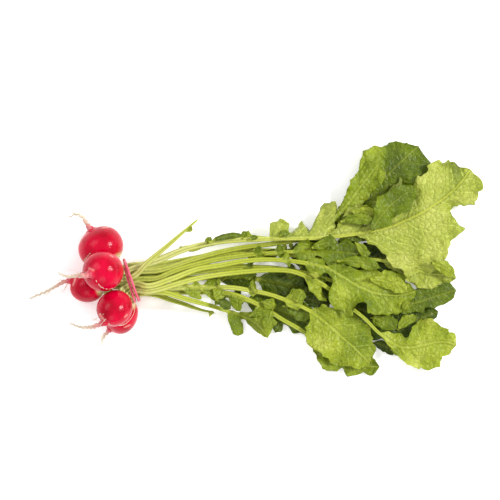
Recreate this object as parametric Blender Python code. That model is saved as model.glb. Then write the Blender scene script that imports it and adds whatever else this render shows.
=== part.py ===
"""A bunch of radishes, lying on its side and tied at the neck with a rubber band.

Five radishes lie at -X, three on the surface and two on top of them. Their leaf stalks run
through the neck, where the band holds them, and fan out to the leaves at +X. The bunch lies
on the XY plane, +Z up. Lengths below are in millimetres and angles in radians; the meshes
are written in metres, with the origin under the middle of the bunch, on the surface.
"""
import math

import bmesh
import bpy
import numpy as np

MM = 0.001                      # one millimetre, in metres
GAP = 0.42                      # clear distance kept between neighbouring pieces
UP = np.array([0.0, 0.0, 1.0])

# The neck of the bunch, where the band holds the stalks side by side in four rows.
NECK = np.array([-80.0, -13.4, 0.0])
NECK_TURN = math.radians(17.6)  # how far the stalks point away from +X at the neck
NECK_ROWS = (12.0, 16.2, 20.7, 24.9)   # height of the stalks' middles, row by row
STALK_NECK_RADIUS = 1.95
STALK_BASE_RADIUS = 1.7         # where a stalk springs from the crown
STALK_END_RADIUS = 1.35         # where the blade begins
RIB_END_RADIUS = 0.55           # the midrib at the leaf's tip
CROWN_CROWDING = 0.86           # stalks stand closer on the crown than in the neck
GUIDE_STEPS = (0.0, 0.3, 0.65, 1.0)    # where a stalk's points stand between crown and neck
GUIDE_PULL = 1.0                # how straight the stalks leave the crown and enter the neck
SEAT_GAP = 0.8                  # between a crown's flat top and the stalks that stand on it
BAND_ROOM = 2.6                 # straight run of the stalks on either side of the neck's middle

# Leaves
BLADE = 0.9                     # thickness of a blade, measured upright
EDGE = 0.6                      # least thickness at a stalk's side edges
BLADE_STEP = 6.4                # longest mesh row along a blade
STALK_STEP = 13.0               # longest mesh row along a bare stalk
TOOTH = 0.055                   # how far the waved edge swings, as a share of the width
CELL = 0.35                     # cell of the height map that stacks the leaves

# Radishes
BULB_SIDES = 20
ROOT_SIDES = 10
BULB_RINGS = 11
CROWN_CUT = -0.88               # the crown's flat top, in the bulb's own half lengths
ROOT_CUT = 0.965                # where the bulb hands over to its taproot
ROOT_TIP_RADIUS = 0.45
ROOT_SHARES = (0.05, 0.13, 0.25, 0.4, 0.56, 0.72, 0.87, 1.0)    # rings down the taproot
ROOT_FLARE = 14                 # how soon the bulb's end narrows to its taproot
BULB_FULLNESS = 2.15            # 2 is an ellipse, more is fuller towards the ends
FLAT_SPOT = 0.9                 # a radish's points lower than this lie flat on the surface

# Rubber band
STRAND_RADIUS = 0.7
STRAND_SIDES = 6
BAND_STEPS = 36                 # points along one of the two turns
BAND_SPREAD = 1.35              # half the distance between the turns, along the stalks
BAND_HOP = 0.95                 # half the height of the outer turn over the inner one

RED = (0.62, 0.004, 0.030, 1.0)
GREEN = (0.30, 0.42, 0.07, 1.0)
DARK_GREEN = (0.12, 0.22, 0.03, 1.0)
PALE_GREEN = (0.50, 0.58, 0.20, 1.0)
BAND_PINK = (0.60, 0.06, 0.10, 1.0)

# Each radish: its middle, the radius round its axis, half its length towards the crown and
# towards the root, the way its crown and its root point, the radius of its taproot, and
# the points that the taproot runs through.
RADISHES = {
    "radish_top": dict(
        middle=(-99.3, 8.2, 14.2), radius=14.7, crown_half=13.2, root_half=13.0,
        crown=(0.50, -0.86, 0.08), root=(-0.50, 0.86, 0.0), root_radius=2.0,
        tail=((-108.8, 24.0, 13.4), (-111.2, 27.4, 12.4), (-115.8, 29.3, 10.6),
              (-120.0, 27.2, 8.8))),
    "radish_upper": dict(
        middle=(-97.0, -7.2, 37.0), radius=12.8, crown_half=13.2, root_half=13.2,
        crown=(0.55, -0.08, -0.83), root=(-0.58, -0.10, 0.80), root_radius=1.9,
        tail=((-108.9, -10.0, 49.0), (-113.0, -9.8, 46.8), (-118.4, -10.4, 40.8),
              (-122.5, -9.6, 36.0), (-126.0, -8.0, 32.5))),
    "radish_small": dict(
        middle=(-108.2, -16.8, 9.9), radius=10.3, crown_half=10.6, root_half=10.4,
        crown=(0.95, 0.10, 0.28), root=(-0.93, 0.30, -0.12), root_radius=1.7,
        tail=((-122.0, -13.6, 7.4), (-127.4, -16.4, 5.6), (-134.7, -20.2, 3.4),
              (-141.0, -22.8, 1.8), (-146.0, -25.0, 0.8))),
    "radish_front": dict(
        middle=(-89.9, -30.8, 33.6), radius=11.1, crown_half=12.0, root_half=12.0,
        crown=(0.46, 0.56, -0.68), root=(-0.52, -0.72, 0.42), root_radius=1.7,
        tail=((-98.8, -40.6, 38.2), (-102.6, -42.2, 36.4), (-108.0, -42.8, 31.8),
              (-114.3, -42.0, 27.0), (-118.8, -40.0, 23.6))),
    "radish_lower": dict(
        middle=(-87.2, -35.5, 10.9), radius=11.3, crown_half=12.8, root_half=11.4,
        crown=(0.26, 0.84, 0.48), root=(-0.58, -0.78, -0.24), root_radius=1.6,
        tail=((-95.4, -46.2, 6.4), (-97.6, -49.4, 4.6), (-99.4, -55.0, 2.0))),
}

# Each leaf, from the lowest in the pile to the highest: the radish it grows on, its row in
# the neck and its place across it, the height at which it would lie alone and the length of
# stalk that it needs to come down to it, the waves of its edge (height and length), and then
# its rows from neck to tip: x, y, and how far the blade reaches to the left and right of the
# midrib, with 0 for the bare stalk. Two more numbers, where given, say how far the blade runs
# forward for each step to the left and to the right.
LEAVES = {
    "leaf_low_top": dict(
        radish="radish_top", row=0, place=7.05, lie=1.6, drop=60, wave=(1.2, 26), tone=DARK_GREEN,
        rows=((-62, -3, 0, 0), (-40, 1, 0, 0), (-15, 5, 0, 0), (10, 6, 0, 0),
              (18.6, 5.8, 0, 0), (23.7, 5.6, 3.8, 6.4), (29.4, 5.1, 6.4, 11.5, 0.1, 0.1),
              (35.8, 4.5, 5.8, 12.2, 0.1, 0.1), (42.2, 3.8, 5.1, 11.5), (48.6, 3, 3.8, 9),
              (56, 2, 5.8, 7.7), (64, 1, 9, 9), (76, 1, 12.2, 10.9), (88, 2, 12.2, 12.2),
              (99, 3, 9, 10.2), (106.9, 3.5, 3.8, 5.1), (110.1, 3.5, 1.3, 1.3))),
    "leaf_low_right": dict(
        radish="radish_small", row=0, place=2.35, lie=1.6, drop=60, wave=(1.2, 22), tone=DARK_GREEN,
        rows=((-62, -8, 0, 0), (-40, -5, 0, 0), (-15, -4, 0, 0), (10, -6, 0, 0),
              (20.5, -8.6, 0, 0), (25.6, -10.2, 3.8, 3.8), (31.4, -12.8, 7.7, 7.7),
              (38.4, -16, 10.2, 10.9), (44.8, -19.2, 10.2, 11.5), (51.2, -22.7, 6.4, 7.7),
              (55.7, -25.3, 3.2, 3.8), (60, -28, 3.2, 3.2), (64.6, -30.7, 5.8, 6.4),
              (70, -33, 8.3, 9.6), (76.8, -35.8, 11.5, 12.8), (84.5, -38.4, 11.5, 13.4),
              (92.2, -40, 10.9, 10.9), (98.6, -39.7, 9, 9), (105, -37.8, 8.3, 7),
              (112, -35, 5.8, 5.1), (117.1, -33.2, 1.9, 1.9))),
    "leaf_low_middle": dict(
        radish="radish_small", row=0, place=-2.35, lie=1.6, drop=60, wave=(1.2, 24), tone=DARK_GREEN,
        rows=((-62, -13, 0, 0), (-45, -12, 0, 0), (-31.4, -11.5, 0, 0),
              (-26.9, -11.5, 5.1, 7, 0.2, 0.2), (-23, -11.5, 1.9, 2.6),
              (-19.8, -11.5, 2.6, 4.5), (-14.7, -11.6, 4.5, 6.4, 0.2, 0.2),
              (-8.3, -11.7, 5.8, 6.4), (-2.6, -11.9, 4.5, 5.1), (0.6, -12.2, 1.9, 1.9),
              (3.8, -12.8, 3.2, 3.8), (8.3, -13.8, 7.7, 9, 0.1, 0.1), (14.1, -15, 9.6, 10.9),
              (19.8, -16.6, 10.2, 10.2), (25.6, -18.2, 8.3, 8.3), (30.1, -19.8, 3.8, 3.8),
              (33.3, -21.1, 3.2, 3.2), (37.8, -22.7, 6.4, 6.4), (42.2, -24.3, 5.8, 6.4),
              (46.7, -26.2, 1.9, 1.9))),
    "leaf_low_front": dict(
        radish="radish_small", row=0, place=-7.05, lie=1.6, drop=60, wave=(1.2, 22), tone=DARK_GREEN,
        rows=((-62, -18.5, 0, 0), (-40, -19, 0, 0), (-26.9, -21.1, 0, 0),
              (-24.3, -21.6, 2.6, 6.4, 0.2, 0.2), (-20.5, -22.4, 1.9, 5.1, 0.2, 0.2),
              (-17.3, -23, 0, 0), (-14.1, -23.9, 5.8, 3.8, 0.3, 0.3),
              (-10.2, -25, 2.6, 5.8, 0.3, 0.2), (-7, -25.8, 1.3, 1.3),
              (-3.2, -26.9, 5.1, 3.8, 0.3, 0.3), (1.3, -28.2, 9, 6.4, 0.3, 0.2),
              (5.8, -29.6, 5.1, 3.8, 0.2, 0.2), (10.9, -31.4, 8.3, 7.7),
              (17.3, -33.6, 10.2, 9), (24.3, -36.5, 10.9, 9), (31.4, -40, 9, 8.3),
              (37.1, -43.5, 5.8, 5.1), (41.6, -46.7, 1.3, 1.3))),
    "leaf_light_tip": dict(
        radish="radish_top", row=1, place=4.7, lie=3, drop=80, wave=(1.2, 18), tone=PALE_GREEN,
        rows=((-62, -5.5, 0, 0), (-40, -1, 0, 0), (-15, 3.5, 0, 0), (-6.4, 3.8, 0, 0),
              (-3.8, 3.9, 2.6, 6.4, 0.3, 0.3), (0, 4, 3.8, 2.6, 0.3, 0.3), (2.6, 4, 0, 0),
              (10, 4, 0, 0), (26.9, 2.8, 0, 0), (30.7, 2.4, 1.9, 6.4, 0.2, 0.3),
              (35.2, 1.9, 2.6, 11.5, 0.2, 0.3), (39.7, 1.7, 2.6, 10.9, 0.2, 0.2),
              (43.5, 1.5, 1.3, 3.8), (46.7, 1.3, 0, 0), (51.8, 1.2, 0, 0),
              (55, 1.1, 5.8, 5.1, 0.2, 0.2), (60.2, 1, 7.7, 7, 0.2, 0.2),
              (64.6, 0.8, 2.6, 2.6), (69.1, 0.5, 0, 0), (78, 0, 0, 0), (86, -1.5, 3.8, 3.8),
              (95, -4, 7.7, 7.7), (106, -7.5, 7.7, 9.6), (113, -9, 5.8, 8),
              (119, -9.5, 8, 6.4), (125, -10.5, 5.1, 3.8), (128.6, -11.5, 1.6, 1.6))),
    "leaf_dark_tip": dict(
        radish="radish_small", row=1, place=0.0, lie=3, drop=80, wave=(0.8, 20), tone=GREEN,
        rows=((-62, -11, 0, 0), (-40, -8, 0, 0), (-15, -5, 0, 0), (-10.2, -4.8, 0, 0),
              (-7, -4.8, 2.6, 5.8, 0.3, 0.4), (-3.2, -4.9, 3.8, 3.2, 0.3, 0.3),
              (-0.6, -4.9, 0, 0), (10, -5, 0, 0), (17.9, -6, 0, 0),
              (21.1, -6.5, 4.5, 5.8, 0.4, 0.4), (25, -7.1, 2.6, 3.8, 0.3, 0.3),
              (28.2, -7.7, 0, 0), (35.2, -9.1, 0, 0), (39, -10.1, 7, 9, 0.3, 0.4),
              (43.2, -11.4, 4.5, 7, 0.3, 0.3), (46.7, -12.5, 0, 0), (60, -17, 0, 0),
              (78, -25, 0, 0), (88, -28, 3.8, 3.8), (97, -28.5, 7, 5.1), (106, -26.5, 7, 6.4),
              (115, -23.5, 6.4, 6.4), (122.9, -21, 5.8, 5.1), (128.5, -19.5, 2.6, 3.2))),
    "leaf_front_end": dict(
        radish="radish_lower", row=1, place=-4.7, lie=2.5, drop=75, wave=(1.2, 18), tone=GREEN,
        rows=((-62, -19.5, 0, 0), (-40, -20.5, 0, 0), (-25, -20.5, 0, 0),
              (-17.9, -21.4, 0, 0), (-16, -21.8, 0.6, 5.1, 0, 0.2),
              (-12.8, -22.6, 1.3, 8.3, 0.1, 0.3), (-9.6, -23.7, 1.3, 7.7, 0.1, 0.3),
              (-7, -24.8, 0, 2.6), (-2, -26.9, 0, 0), (1.3, -28.8, 3.2, 0.6, 0.3, 0),
              (4.5, -30.7, 6.4, 1.9, 0.4, 0.2), (7.7, -32.5, 5.8, 1.9, 0.4, 0.2),
              (10.6, -34.2, 1.3, 0.6), (15, -37, 0, 0), (27.3, -44, 0, 0),
              (34.6, -48.5, 0, 0), (40.3, -53.8, 5.1, 5.8), (46.1, -58.2, 7, 10.2, 0, 0.3),
              (51.8, -61.8, 7, 10.6, 0, 0.3), (56.3, -64, 6.4, 5.1, 0, 0.3),
              (60.8, -65.9, 7.7, 7.7, 0, 0.3), (65.3, -67.2, 8.3, 6.7, 0, 0.2),
              (70.4, -68.2, 6.4, 5.1), (75.5, -68.5, 5.8, 4.5), (79.4, -68.5, 1.9, 1.9))),
    "leaf_thin": dict(
        radish="radish_lower", row=1, place=-9.4, lie=2, drop=52, wave=(0, 20), tone=PALE_GREEN,
        rows=((-65, -22, 0, 0), (-54.4, -25.6, 0, 0), (-46.2, -28.2, 0, 0), (-38, -31.2, 0, 0),
              (-31, -33, 0, 0), (-29, -33.3, 1, 3.2), (-26.8, -33.9, 1.5, 1.5))),
    "leaf_top": dict(
        radish="radish_upper", row=2, place=4.7, lie=5, drop=95, wave=(2.0, 30), tone=GREEN,
        rows=((-62.7, -6.8, 0, 0), (-41.6, -0.2, 0, 0), (-25.6, 4.4, 0, 0), (-9.6, 7.8, 0, 0),
              (8, 10, 0, 0), (26, 13, 0, 0), (42, 20, 0, 0), (51, 26, 2.6, 2.6),
              (58, 31, 5.8, 5.8), (66.6, 38.4, 9.6, 11.5), (76.2, 46.7, 14.7, 17.3),
              (84.5, 54.4, 19.8, 19.8, 0.1, 0), (92.2, 62.1, 16.6, 20.5, 0.1, 0),
              (98.6, 68, 8.3, 19.8), (101.8, 70.9, 3.8, 15.4), (104.3, 73.1, 1.3, 9))),
    "leaf_spoon": dict(
        radish="radish_top", row=1, place=9.4, lie=5, drop=95, wave=(1.0, 24), tone=GREEN,
        rows=((-72, -2.8, 0, 0), (-61, 1, 0, 0), (-51, 5, 0, 0), (-47.4, 6.4, 3.5, 1),
              (-44, 7.6, 0, 0), (-42.2, 7, 0, 0), (-33.9, 9.4, 0, 0),
              (-31.4, 10, 3.8, 0.6, 0.1, 0), (-28.8, 10.5, 2.6, 0.6, 0.1, 0),
              (-25.6, 11.3, 0.6, 0.6), (-12.2, 13.6, 1.3, 0.6),
              (-7.7, 14.2, 2.6, 0.6, 0.2, 0), (-5.8, 14.4, 5.1, 0.6, 0.1, 0),
              (-3.2, 14.5, 2.6, 0.6), (0, 14.3, 0.6, 0.6), (3.8, 13.9, 0, 0),
              (21.8, 14, 0, 0), (35.8, 16, 0, 0), (44.2, 21.1, 0, 0), (50.6, 27.2, 1.9, 2.6),
              (57, 33.6, 3.2, 3.8), (62.7, 41, 5.4, 6.4), (67.8, 48, 7.4, 8.3),
              (72, 53.1, 8.3, 9), (74.9, 57, 7.7, 8.3), (77.4, 60.2, 4.8, 6.1),
              (78.7, 61.8, 1.9, 2.6))),
    "leaf_lobed": dict(
        radish="radish_upper", row=2, place=0.0, lie=5, drop=95, wave=(1.2, 16), tone=GREEN,
        rows=((-62.7, -11.6, 0, 0), (-54.4, -8, 0, 0), (-34.8, -1.9, 0, 0),
              (-21.8, 0.8, 0, 0), (-8, 2.8, 0, 0), (-2.6, 3.5, 0, 0),
              (0.6, 3.7, 5.8, 3.2, 0.3, 0.3), (3.8, 4, 2.6, 5.1, 0.3, 0.3), (6.4, 4.2, 0, 0),
              (11.5, 4.5, 0, 0), (14.1, 4.7, 5.8, 3.8, 0.3, 0.3),
              (17.3, 4.9, 3.2, 6.4, 0.3, 0.2), (19.8, 5.1, 0, 0), (23.7, 5.2, 1.9, 1.9),
              (27.5, 5.6, 6.4, 7.7, 0.4, 0.3), (32, 5.8, 7.7, 11.5, 0.3, 0.2),
              (36.5, 5.8, 5.1, 9, 0.3, 0.2), (39.7, 5.6, 2.6, 3.2),
              (43.5, 5.5, 7.7, 10.2, 0.3, 0.3), (48, 5.2, 8.3, 12.8, 0.3, 0.3),
              (51.8, 5.1, 3.8, 7.7), (55.7, 4.8, 6.4, 11.5), (60.8, 4.4, 7.7, 12.8),
              (65.9, 4, 5.8, 10.2), (69.8, 3.7, 1.9, 3.2))),
    "leaf_front": dict(
        radish="radish_front", row=2, place=-4.7, lie=5, drop=90, wave=(1.8, 22), tone=GREEN,
        rows=((-62, -18.2, 0, 0), (-51.2, -17.8, 0, 0), (-46.1, -17.5, 4.5, 3.2, 0.3, 0.3),
              (-42.2, -17.3, 1.9, 6.4, 0.3, 0.3), (-38.4, -17.4, 5.1, 7.7, 0.3, 0.3),
              (-34.6, -17.5, 1.9, 3.2), (-30.7, -17.5, 4.5, 7.7, 0.3, 0.3),
              (-26.9, -17.5, 5.1, 7.7, 0.2, 0.2), (-23.7, -17.5, 1.3, 1.9),
              (-21.1, -17.5, 0, 0), (-13.4, -17.9, 0, 0), (-6.4, -19, 0, 0),
              (-3.2, -19.6, 5.8, 3.8, 0.3, 0.3), (0, -20.2, 2.6, 2.6, 0.3, 0.3),
              (2.6, -20.7, 0, 0), (9.6, -22.4, 0, 0), (17.3, -25, 0, 0),
              (20.5, -26.2, 7.7, 3.2, 0.3, 0.3), (24.3, -27.7, 9.6, 3.8, 0.3, 0.3),
              (27.5, -29.1, 5.1, 3.2, 0.3, 0.3), (30.1, -30.3, 0, 0), (32.6, -31.6, 0, 0),
              (36.5, -33.8, 3.8, 4.5), (40.3, -36.7, 9, 12.2),
              (44.8, -40.3, 13.4, 16.6, 0.1, 0.1), (49.9, -44.8, 16, 17.9, 0.1, 0.1),
              (55, -49.3, 17.3, 17.9, 0.2, 0.1), (60.2, -53.8, 16, 16.6, 0.2, 0.1),
              (65.3, -58.6, 12.8, 13.4, 0.2, 0.1), (69.8, -63, 8.3, 9.6),
              (73.6, -66.9, 3.2, 3.8))),
    "leaf_pointed": dict(
        radish="radish_front", row=2, place=-9.4, lie=3, drop=70, wave=(0.8, 18), tone=GREEN,
        rows=((-60, -20.5, 0, 0), (-46, -24.5, 0, 0), (-36.5, -27.2, 0, 0),
              (-25.8, -30.3, 0, 0), (-19.2, -32.5, 0.6, 0.6), (-17, -33.3, 1.3, 3.2, 0, 0.1),
              (-16, -33.7, 1.9, 9, 0, 0.2), (-14.9, -33.9, 1.9, 12.8, 0, 0.27),
              (-13.2, -34.5, 1.9, 13.4, 0, 0.4), (-11.5, -35.1, 1.9, 11.2, 0, 0.6),
              (-10.2, -35.5, 2.6, 7, 0, 0.65), (-9, -35.9, 3.2, 2.6, 0, 0.5),
              (-6.4, -37, 6.4, 1.9, 0.2, 0.2), (-2.6, -38.9, 10.2, 3.2, 0.3, 0.1),
              (1.3, -41.9, 11.5, 3.8, 0.3, 0), (5.1, -46.1, 9, 2.6), (7.7, -49.9, 1.9, 1.3))),
    "leaf_front_right": dict(
        radish="radish_front", row=3, place=-7.05, lie=7, drop=110, wave=(1.8, 24), tone=PALE_GREEN,
        rows=((-70, -19.9, 0, 0), (-62.7, -18.8, 0, 0), (-54.4, -16.3, 0, 0),
              (-38, -11.8, 0, 0), (-21.8, -9, 0, 0), (-5.4, -7.3, 0, 0), (10.9, -6.4, 0, 0),
              (23, -7.3, 0, 0), (30.4, -9.7, 0, 0), (31.7, -10.2, 0.6, 2.6, 0, 0.6),
              (33, -10.7, 0.6, 7.7, 0, 0.8), (34.6, -11.3, 1.3, 11.5, 0, 0.95),
              (37.1, -12.5, 1.3, 11.5, 0, 1.1), (39.7, -13.8, 1.3, 8, 0, 1.25),
              (41.6, -14.9, 0.6, 5.1, 0, 1.2), (43.2, -16, 0, 1.9, 0, 1.1),
              (45.4, -17.5, 0, 0), (49.3, -19.8, 0, 0), (60, -30, 0, 0), (69.1, -37.1, 0, 0),
              (73.6, -41.6, 0, 0), (78, -46.1, 0.6, 0.6), (83, -49.9, 4.5, 1.9),
              (88, -53.4, 6.4, 3.2), (92.8, -55.7, 7, 5.8),
              (96.6, -56.3, 8.3, 10.9, 0.1, 0.1), (101.1, -56, 11.5, 14.7, 0.2, 0.2),
              (105.6, -55, 15.4, 16, 0.1, 0.1), (110.1, -53.8, 16.6, 15.7, 0.1, 0.1),
              (114.6, -52.8, 15.4, 14.1, 0.1, 0.1), (118.4, -52.5, 10.9, 9.6),
              (122.2, -52.8, 7, 7), (126.1, -53.8, 5.1, 5.8), (128.6, -54.7, 1.9, 2.6))),
    "leaf_middle": dict(
        radish="radish_front", row=3, place=-2.35, lie=7, drop=110, wave=(1.8, 24), tone=GREEN,
        rows=((-70, -16.4, 0, 0), (-54.4, -12.2, 0, 0), (-38, -6, 0, 0), (-21.8, -3.2, 0, 0),
              (-9.6, -0.9, 0, 0), (2.6, 0.2, 0, 0), (15.4, 0, 0, 0),
              (17.9, -0.2, 5.1, 1.9, 0.3, 0.3), (21.1, -0.5, 2.6, 3.8, 0.3, 0.3),
              (23.7, -0.8, 0, 0), (30.7, -1.8, 0, 0), (33.3, -2.2, 3.2, 5.8, 0.3, 0.3),
              (37.1, -3, 5.1, 8.3, 0.2, 0.2), (41, -3.8, 4.5, 9, 0.2, 0.2),
              (44.2, -4.8, 1.9, 5.8), (46.7, -5.8, 2.6, 3.2), (49.3, -7, 5.8, 7.7, 0, 0.3),
              (53.1, -9.3, 7, 18.6, 0, 0.37), (57, -11.5, 7.7, 21.4, 0, 0.6),
              (61.1, -14.1, 7.7, 18.6, 0, 0.7), (64, -15.9, 9, 9.3, 0, 0.77),
              (66.6, -17.3, 10.9, 9.6, 0, 0.76), (70.4, -19, 13.4, 12.8, 0, 0.75),
              (74.2, -20.5, 16, 13.1, 0, 0.6), (78.7, -21.6, 16.6, 12.5, 0, 0.5),
              (84.5, -22.4, 16, 11.8, 0, 0.5), (90.2, -22.7, 14.7, 7.7, 0, 0.45),
              (95, -22.4, 11.5, 5.1), (99.5, -21.1, 7, 3.8), (103, -19.5, 1.9, 1.9))),
    "leaf_big": dict(
        radish="radish_upper", row=3, place=7.05, lie=8, drop=115, wave=(2.2, 34), tone=PALE_GREEN,
        rows=((-62.7, -0.6, 0, 0), (-46, 6.6, 0, 0), (-30, 10.6, 0, 0), (-13.4, 12.6, 0, 0),
              (0, 13.2, 0, 0), (8, 13.5, 0, 0), (9.2, 13.5, 5.1, 0), (10, 13.5, 9, 0),
              (11.6, 13.5, 12.2, 0.6), (14.3, 13.5, 14.1, 0.6), (17.3, 13.6, 12.5, 0.6),
              (19.5, 13.6, 8.3, 0.6), (20.7, 13.6, 5.1, 0), (21.8, 13.6, 3.8, 0),
              (23.4, 13.7, 4.5, 0, 0.1, 0), (25.3, 13.8, 7.7, 0.6, 0.1, 0),
              (27.5, 13.8, 11.8, 1.3, 0.1, 0), (29.8, 13.9, 12.8, 1.3, 0.1, 0),
              (31.4, 14, 9.6, 1.3, 0.1, 0), (32.4, 14, 5.1, 1.3, 0.3, 0),
              (33.3, 14, 5.8, 1.3, 0.45, 0), (34, 14, 15.4, 1.3, 0.5, 0),
              (35.5, 14.1, 21.8, 1.3, 0.45, 0), (38.4, 14.1, 22.4, 1.9, 0.5, 0),
              (41.6, 14.3, 21.8, 1.9, 0.55, 0), (44.2, 14.5, 18.6, 1.9, 0.57, 0),
              (45.4, 14.6, 9.6, 1.3, 0.57, 0), (46.5, 14.7, 5.1, 1.3, 0.6, 0),
              (47.7, 14.7, 5.8, 1.3, 0.65, 0), (48.8, 14.8, 11.5, 1.3, 0.7, 0),
              (50.6, 15, 16.6, 1.3, 0.7, 0), (53.8, 15.4, 18.6, 1.3, 0.8, 0),
              (57.6, 15.9, 17.9, 1.3, 0.9, 0), (60.8, 16.3, 14.7, 1.3, 0.95, 0),
              (63.4, 16.7, 7.7, 1.3, 1, 0), (65.3, 17, 5.1, 2.6, 1, 0),
              (66.9, 17.2, 6.4, 3.2, 1, 0.05), (68.2, 17.3, 17.3, 3.2, 1, 0.1),
              (69.8, 17.6, 27.5, 4.5, 0.97, 0.1), (72.3, 18, 30.7, 7.7, 0.94, 0.15),
              (75.5, 18.7, 28.2, 14.1, 0.91, 0.15), (78.7, 19.4, 22.4, 21.1, 0.88, 0.13),
              (81.9, 20.1, 16, 26.9, 0.84, 0.1), (85.1, 21.1, 10.2, 31.4, 0.8, 0.05),
              (88.3, 22.2, 6.4, 35.2, 0.7, 0), (92.8, 24.1, 9, 36.5, 0.6, 0.05),
              (96.6, 25.8, 13.4, 35.8, 0.5, 0.1), (101.1, 27.8, 17.3, 34.6, 0.42, 0.15),
              (105.6, 30.1, 19.2, 28.8, 0.36, 0.15), (110.1, 32.6, 19.8, 25, 0.32, 0.25),
              (113.3, 34.8, 20.5, 23.7, 0.3, 0.4), (115.5, 36.2, 21.1, 15.4, 0.3, 0.38),
              (117.1, 37.2, 21.8, 8.3, 0.3, 0.3), (119.7, 39.2, 22.7, 9, 0.3, 0.3),
              (123.5, 42.2, 21.8, 11.5, 0.3, 0.3), (127.7, 46, 18.9, 14.4, 0.3, 0.3),
              (131.2, 49.9, 14.4, 14.1, 0.3, 0.3), (134.1, 53.4, 9.6, 11.2, 0.3, 0.3),
              (136.3, 56.3, 5.1, 7), (137.6, 57.9, 1.9, 2.6))),
    "broken_stalk": dict(
        radish="radish_upper", row=3, place=2.35, lie=36, drop=64, wave=(0, 20), tone=PALE_GREEN,
        rows=((-70, -2.6, 0, 0), (-55, 10.2, 0, 0), (-46.5, 17.5, 0, 0), (-43, 20.5, 0, 3.8),
              (-40.5, 22.7, 0, 0), (-36.4, 26.2, 0, 0))),
}
WIDE_LEAVES = ("leaf_big", "leaf_top", "leaf_middle", "leaf_front", "leaf_front_right", "leaf_spoon")
STALK_RAISED = {"broken_stalk": 1.6}    # it lies on its neighbours, higher than its row


def unit(vector):
    """The vector as an array of length one."""
    vector = np.asarray(vector, float)
    return vector / np.linalg.norm(vector)


def clear_scene():
    for item in list(bpy.data.objects):
        bpy.data.objects.remove(item, do_unlink=True)


def material(name, colour, roughness):
    """A plain surface of one colour."""
    made = bpy.data.materials.new(name)
    made.use_nodes = True
    shader = made.node_tree.nodes["Principled BSDF"]
    shader.inputs["Base Color"].default_value = colour
    shader.inputs["Roughness"].default_value = roughness
    shader.inputs["Metallic"].default_value = 0.0
    made.diffuse_color = colour
    return made


def smooth_slopes(at, values):
    """Slopes of a smooth curve through the values, which stand at the given distances."""
    slopes = np.gradient(values, axis=0)
    steps = np.diff(at)
    secants = np.diff(values, axis=0) / steps[:, None]
    slopes[0], slopes[-1] = secants[0], secants[-1]
    before, after = steps[:-1, None], steps[1:, None]
    slopes[1:-1] = (secants[:-1] * after + secants[1:] * before) / (before + after)
    return slopes


def level_slopes(at, values):
    """Slopes that never carry the curve past its own knots, for widths that fall to zero."""
    secants = np.diff(values, axis=0) / np.diff(at)[:, None]
    slopes = np.zeros_like(values)
    same_way = secants[:-1] * secants[1:] > 0
    total = np.where(same_way, secants[:-1] + secants[1:], 1.0)
    slopes[1:-1] = np.where(same_way, 2 * secants[:-1] * secants[1:] / total, 0.0)
    return slopes


def read_curve(at, values, slopes, where):
    """Values of the cubic curve at the distances in where."""
    left = np.clip(np.searchsorted(at, where, side="right") - 1, 0, len(at) - 2)
    step = (at[left + 1] - at[left])[:, None]
    t = (where - at[left])[:, None] / step
    rise = values[left + 1] - values[left]
    return (values[left] + step * slopes[left] * t * (1 - t) ** 2
            - step * slopes[left + 1] * t * t * (1 - t) + rise * t * t * (3 - 2 * t))


def distances(points):
    """Distance travelled from the first point to each."""
    steps = np.linalg.norm(np.diff(points, axis=0), axis=1)
    return np.concatenate(([0.0], np.cumsum(steps)))


def skin(bm, rings):
    """Triangles between rings of points, each ring closed; rings may halve their count."""
    made = [[bm.verts.new(point) for point in ring] for ring in rings]
    for near, far in zip(made[:-1], made[1:]):
        count = len(near)
        if len(far) == count:
            for i in range(count):
                k = (i + 1) % count
                bm.faces.new((near[i], near[k], far[k]))
                bm.faces.new((near[i], far[k], far[i]))
            continue
        for i, corner in enumerate(far):        # two edges of the near ring to one of the far
            a, b, c = near[2 * i], near[(2 * i + 1) % count], near[(2 * i + 2) % count]
            bm.faces.new((a, b, corner))
            bm.faces.new((b, c, corner))
            bm.faces.new((c, far[(i + 1) % len(far)], corner))
    return made


def fan(bm, ring):
    """Closes a ring of points with triangles to its middle."""
    middle = bm.verts.new(sum((v.co for v in ring), ring[0].co * 0) / len(ring))
    for i, vert in enumerate(ring):
        bm.faces.new((vert, ring[(i + 1) % len(ring)], middle))


def add_object(name, bm, surface, sharp_angle=50.0):
    """Turns the bmesh, in millimetres, into a smooth-shaded object in metres."""
    bmesh.ops.scale(bm, vec=(MM, MM, MM), verts=bm.verts)
    bmesh.ops.recalc_face_normals(bm, faces=bm.faces)
    mesh = bpy.data.meshes.new(name)
    bm.to_mesh(mesh)
    bm.free()
    mesh.shade_smooth()
    mesh.set_sharp_from_angle(angle=math.radians(sharp_angle))
    mesh.materials.append(surface)
    made = bpy.data.objects.new(name, mesh)
    bpy.context.scene.collection.objects.link(made)
    return made


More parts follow.
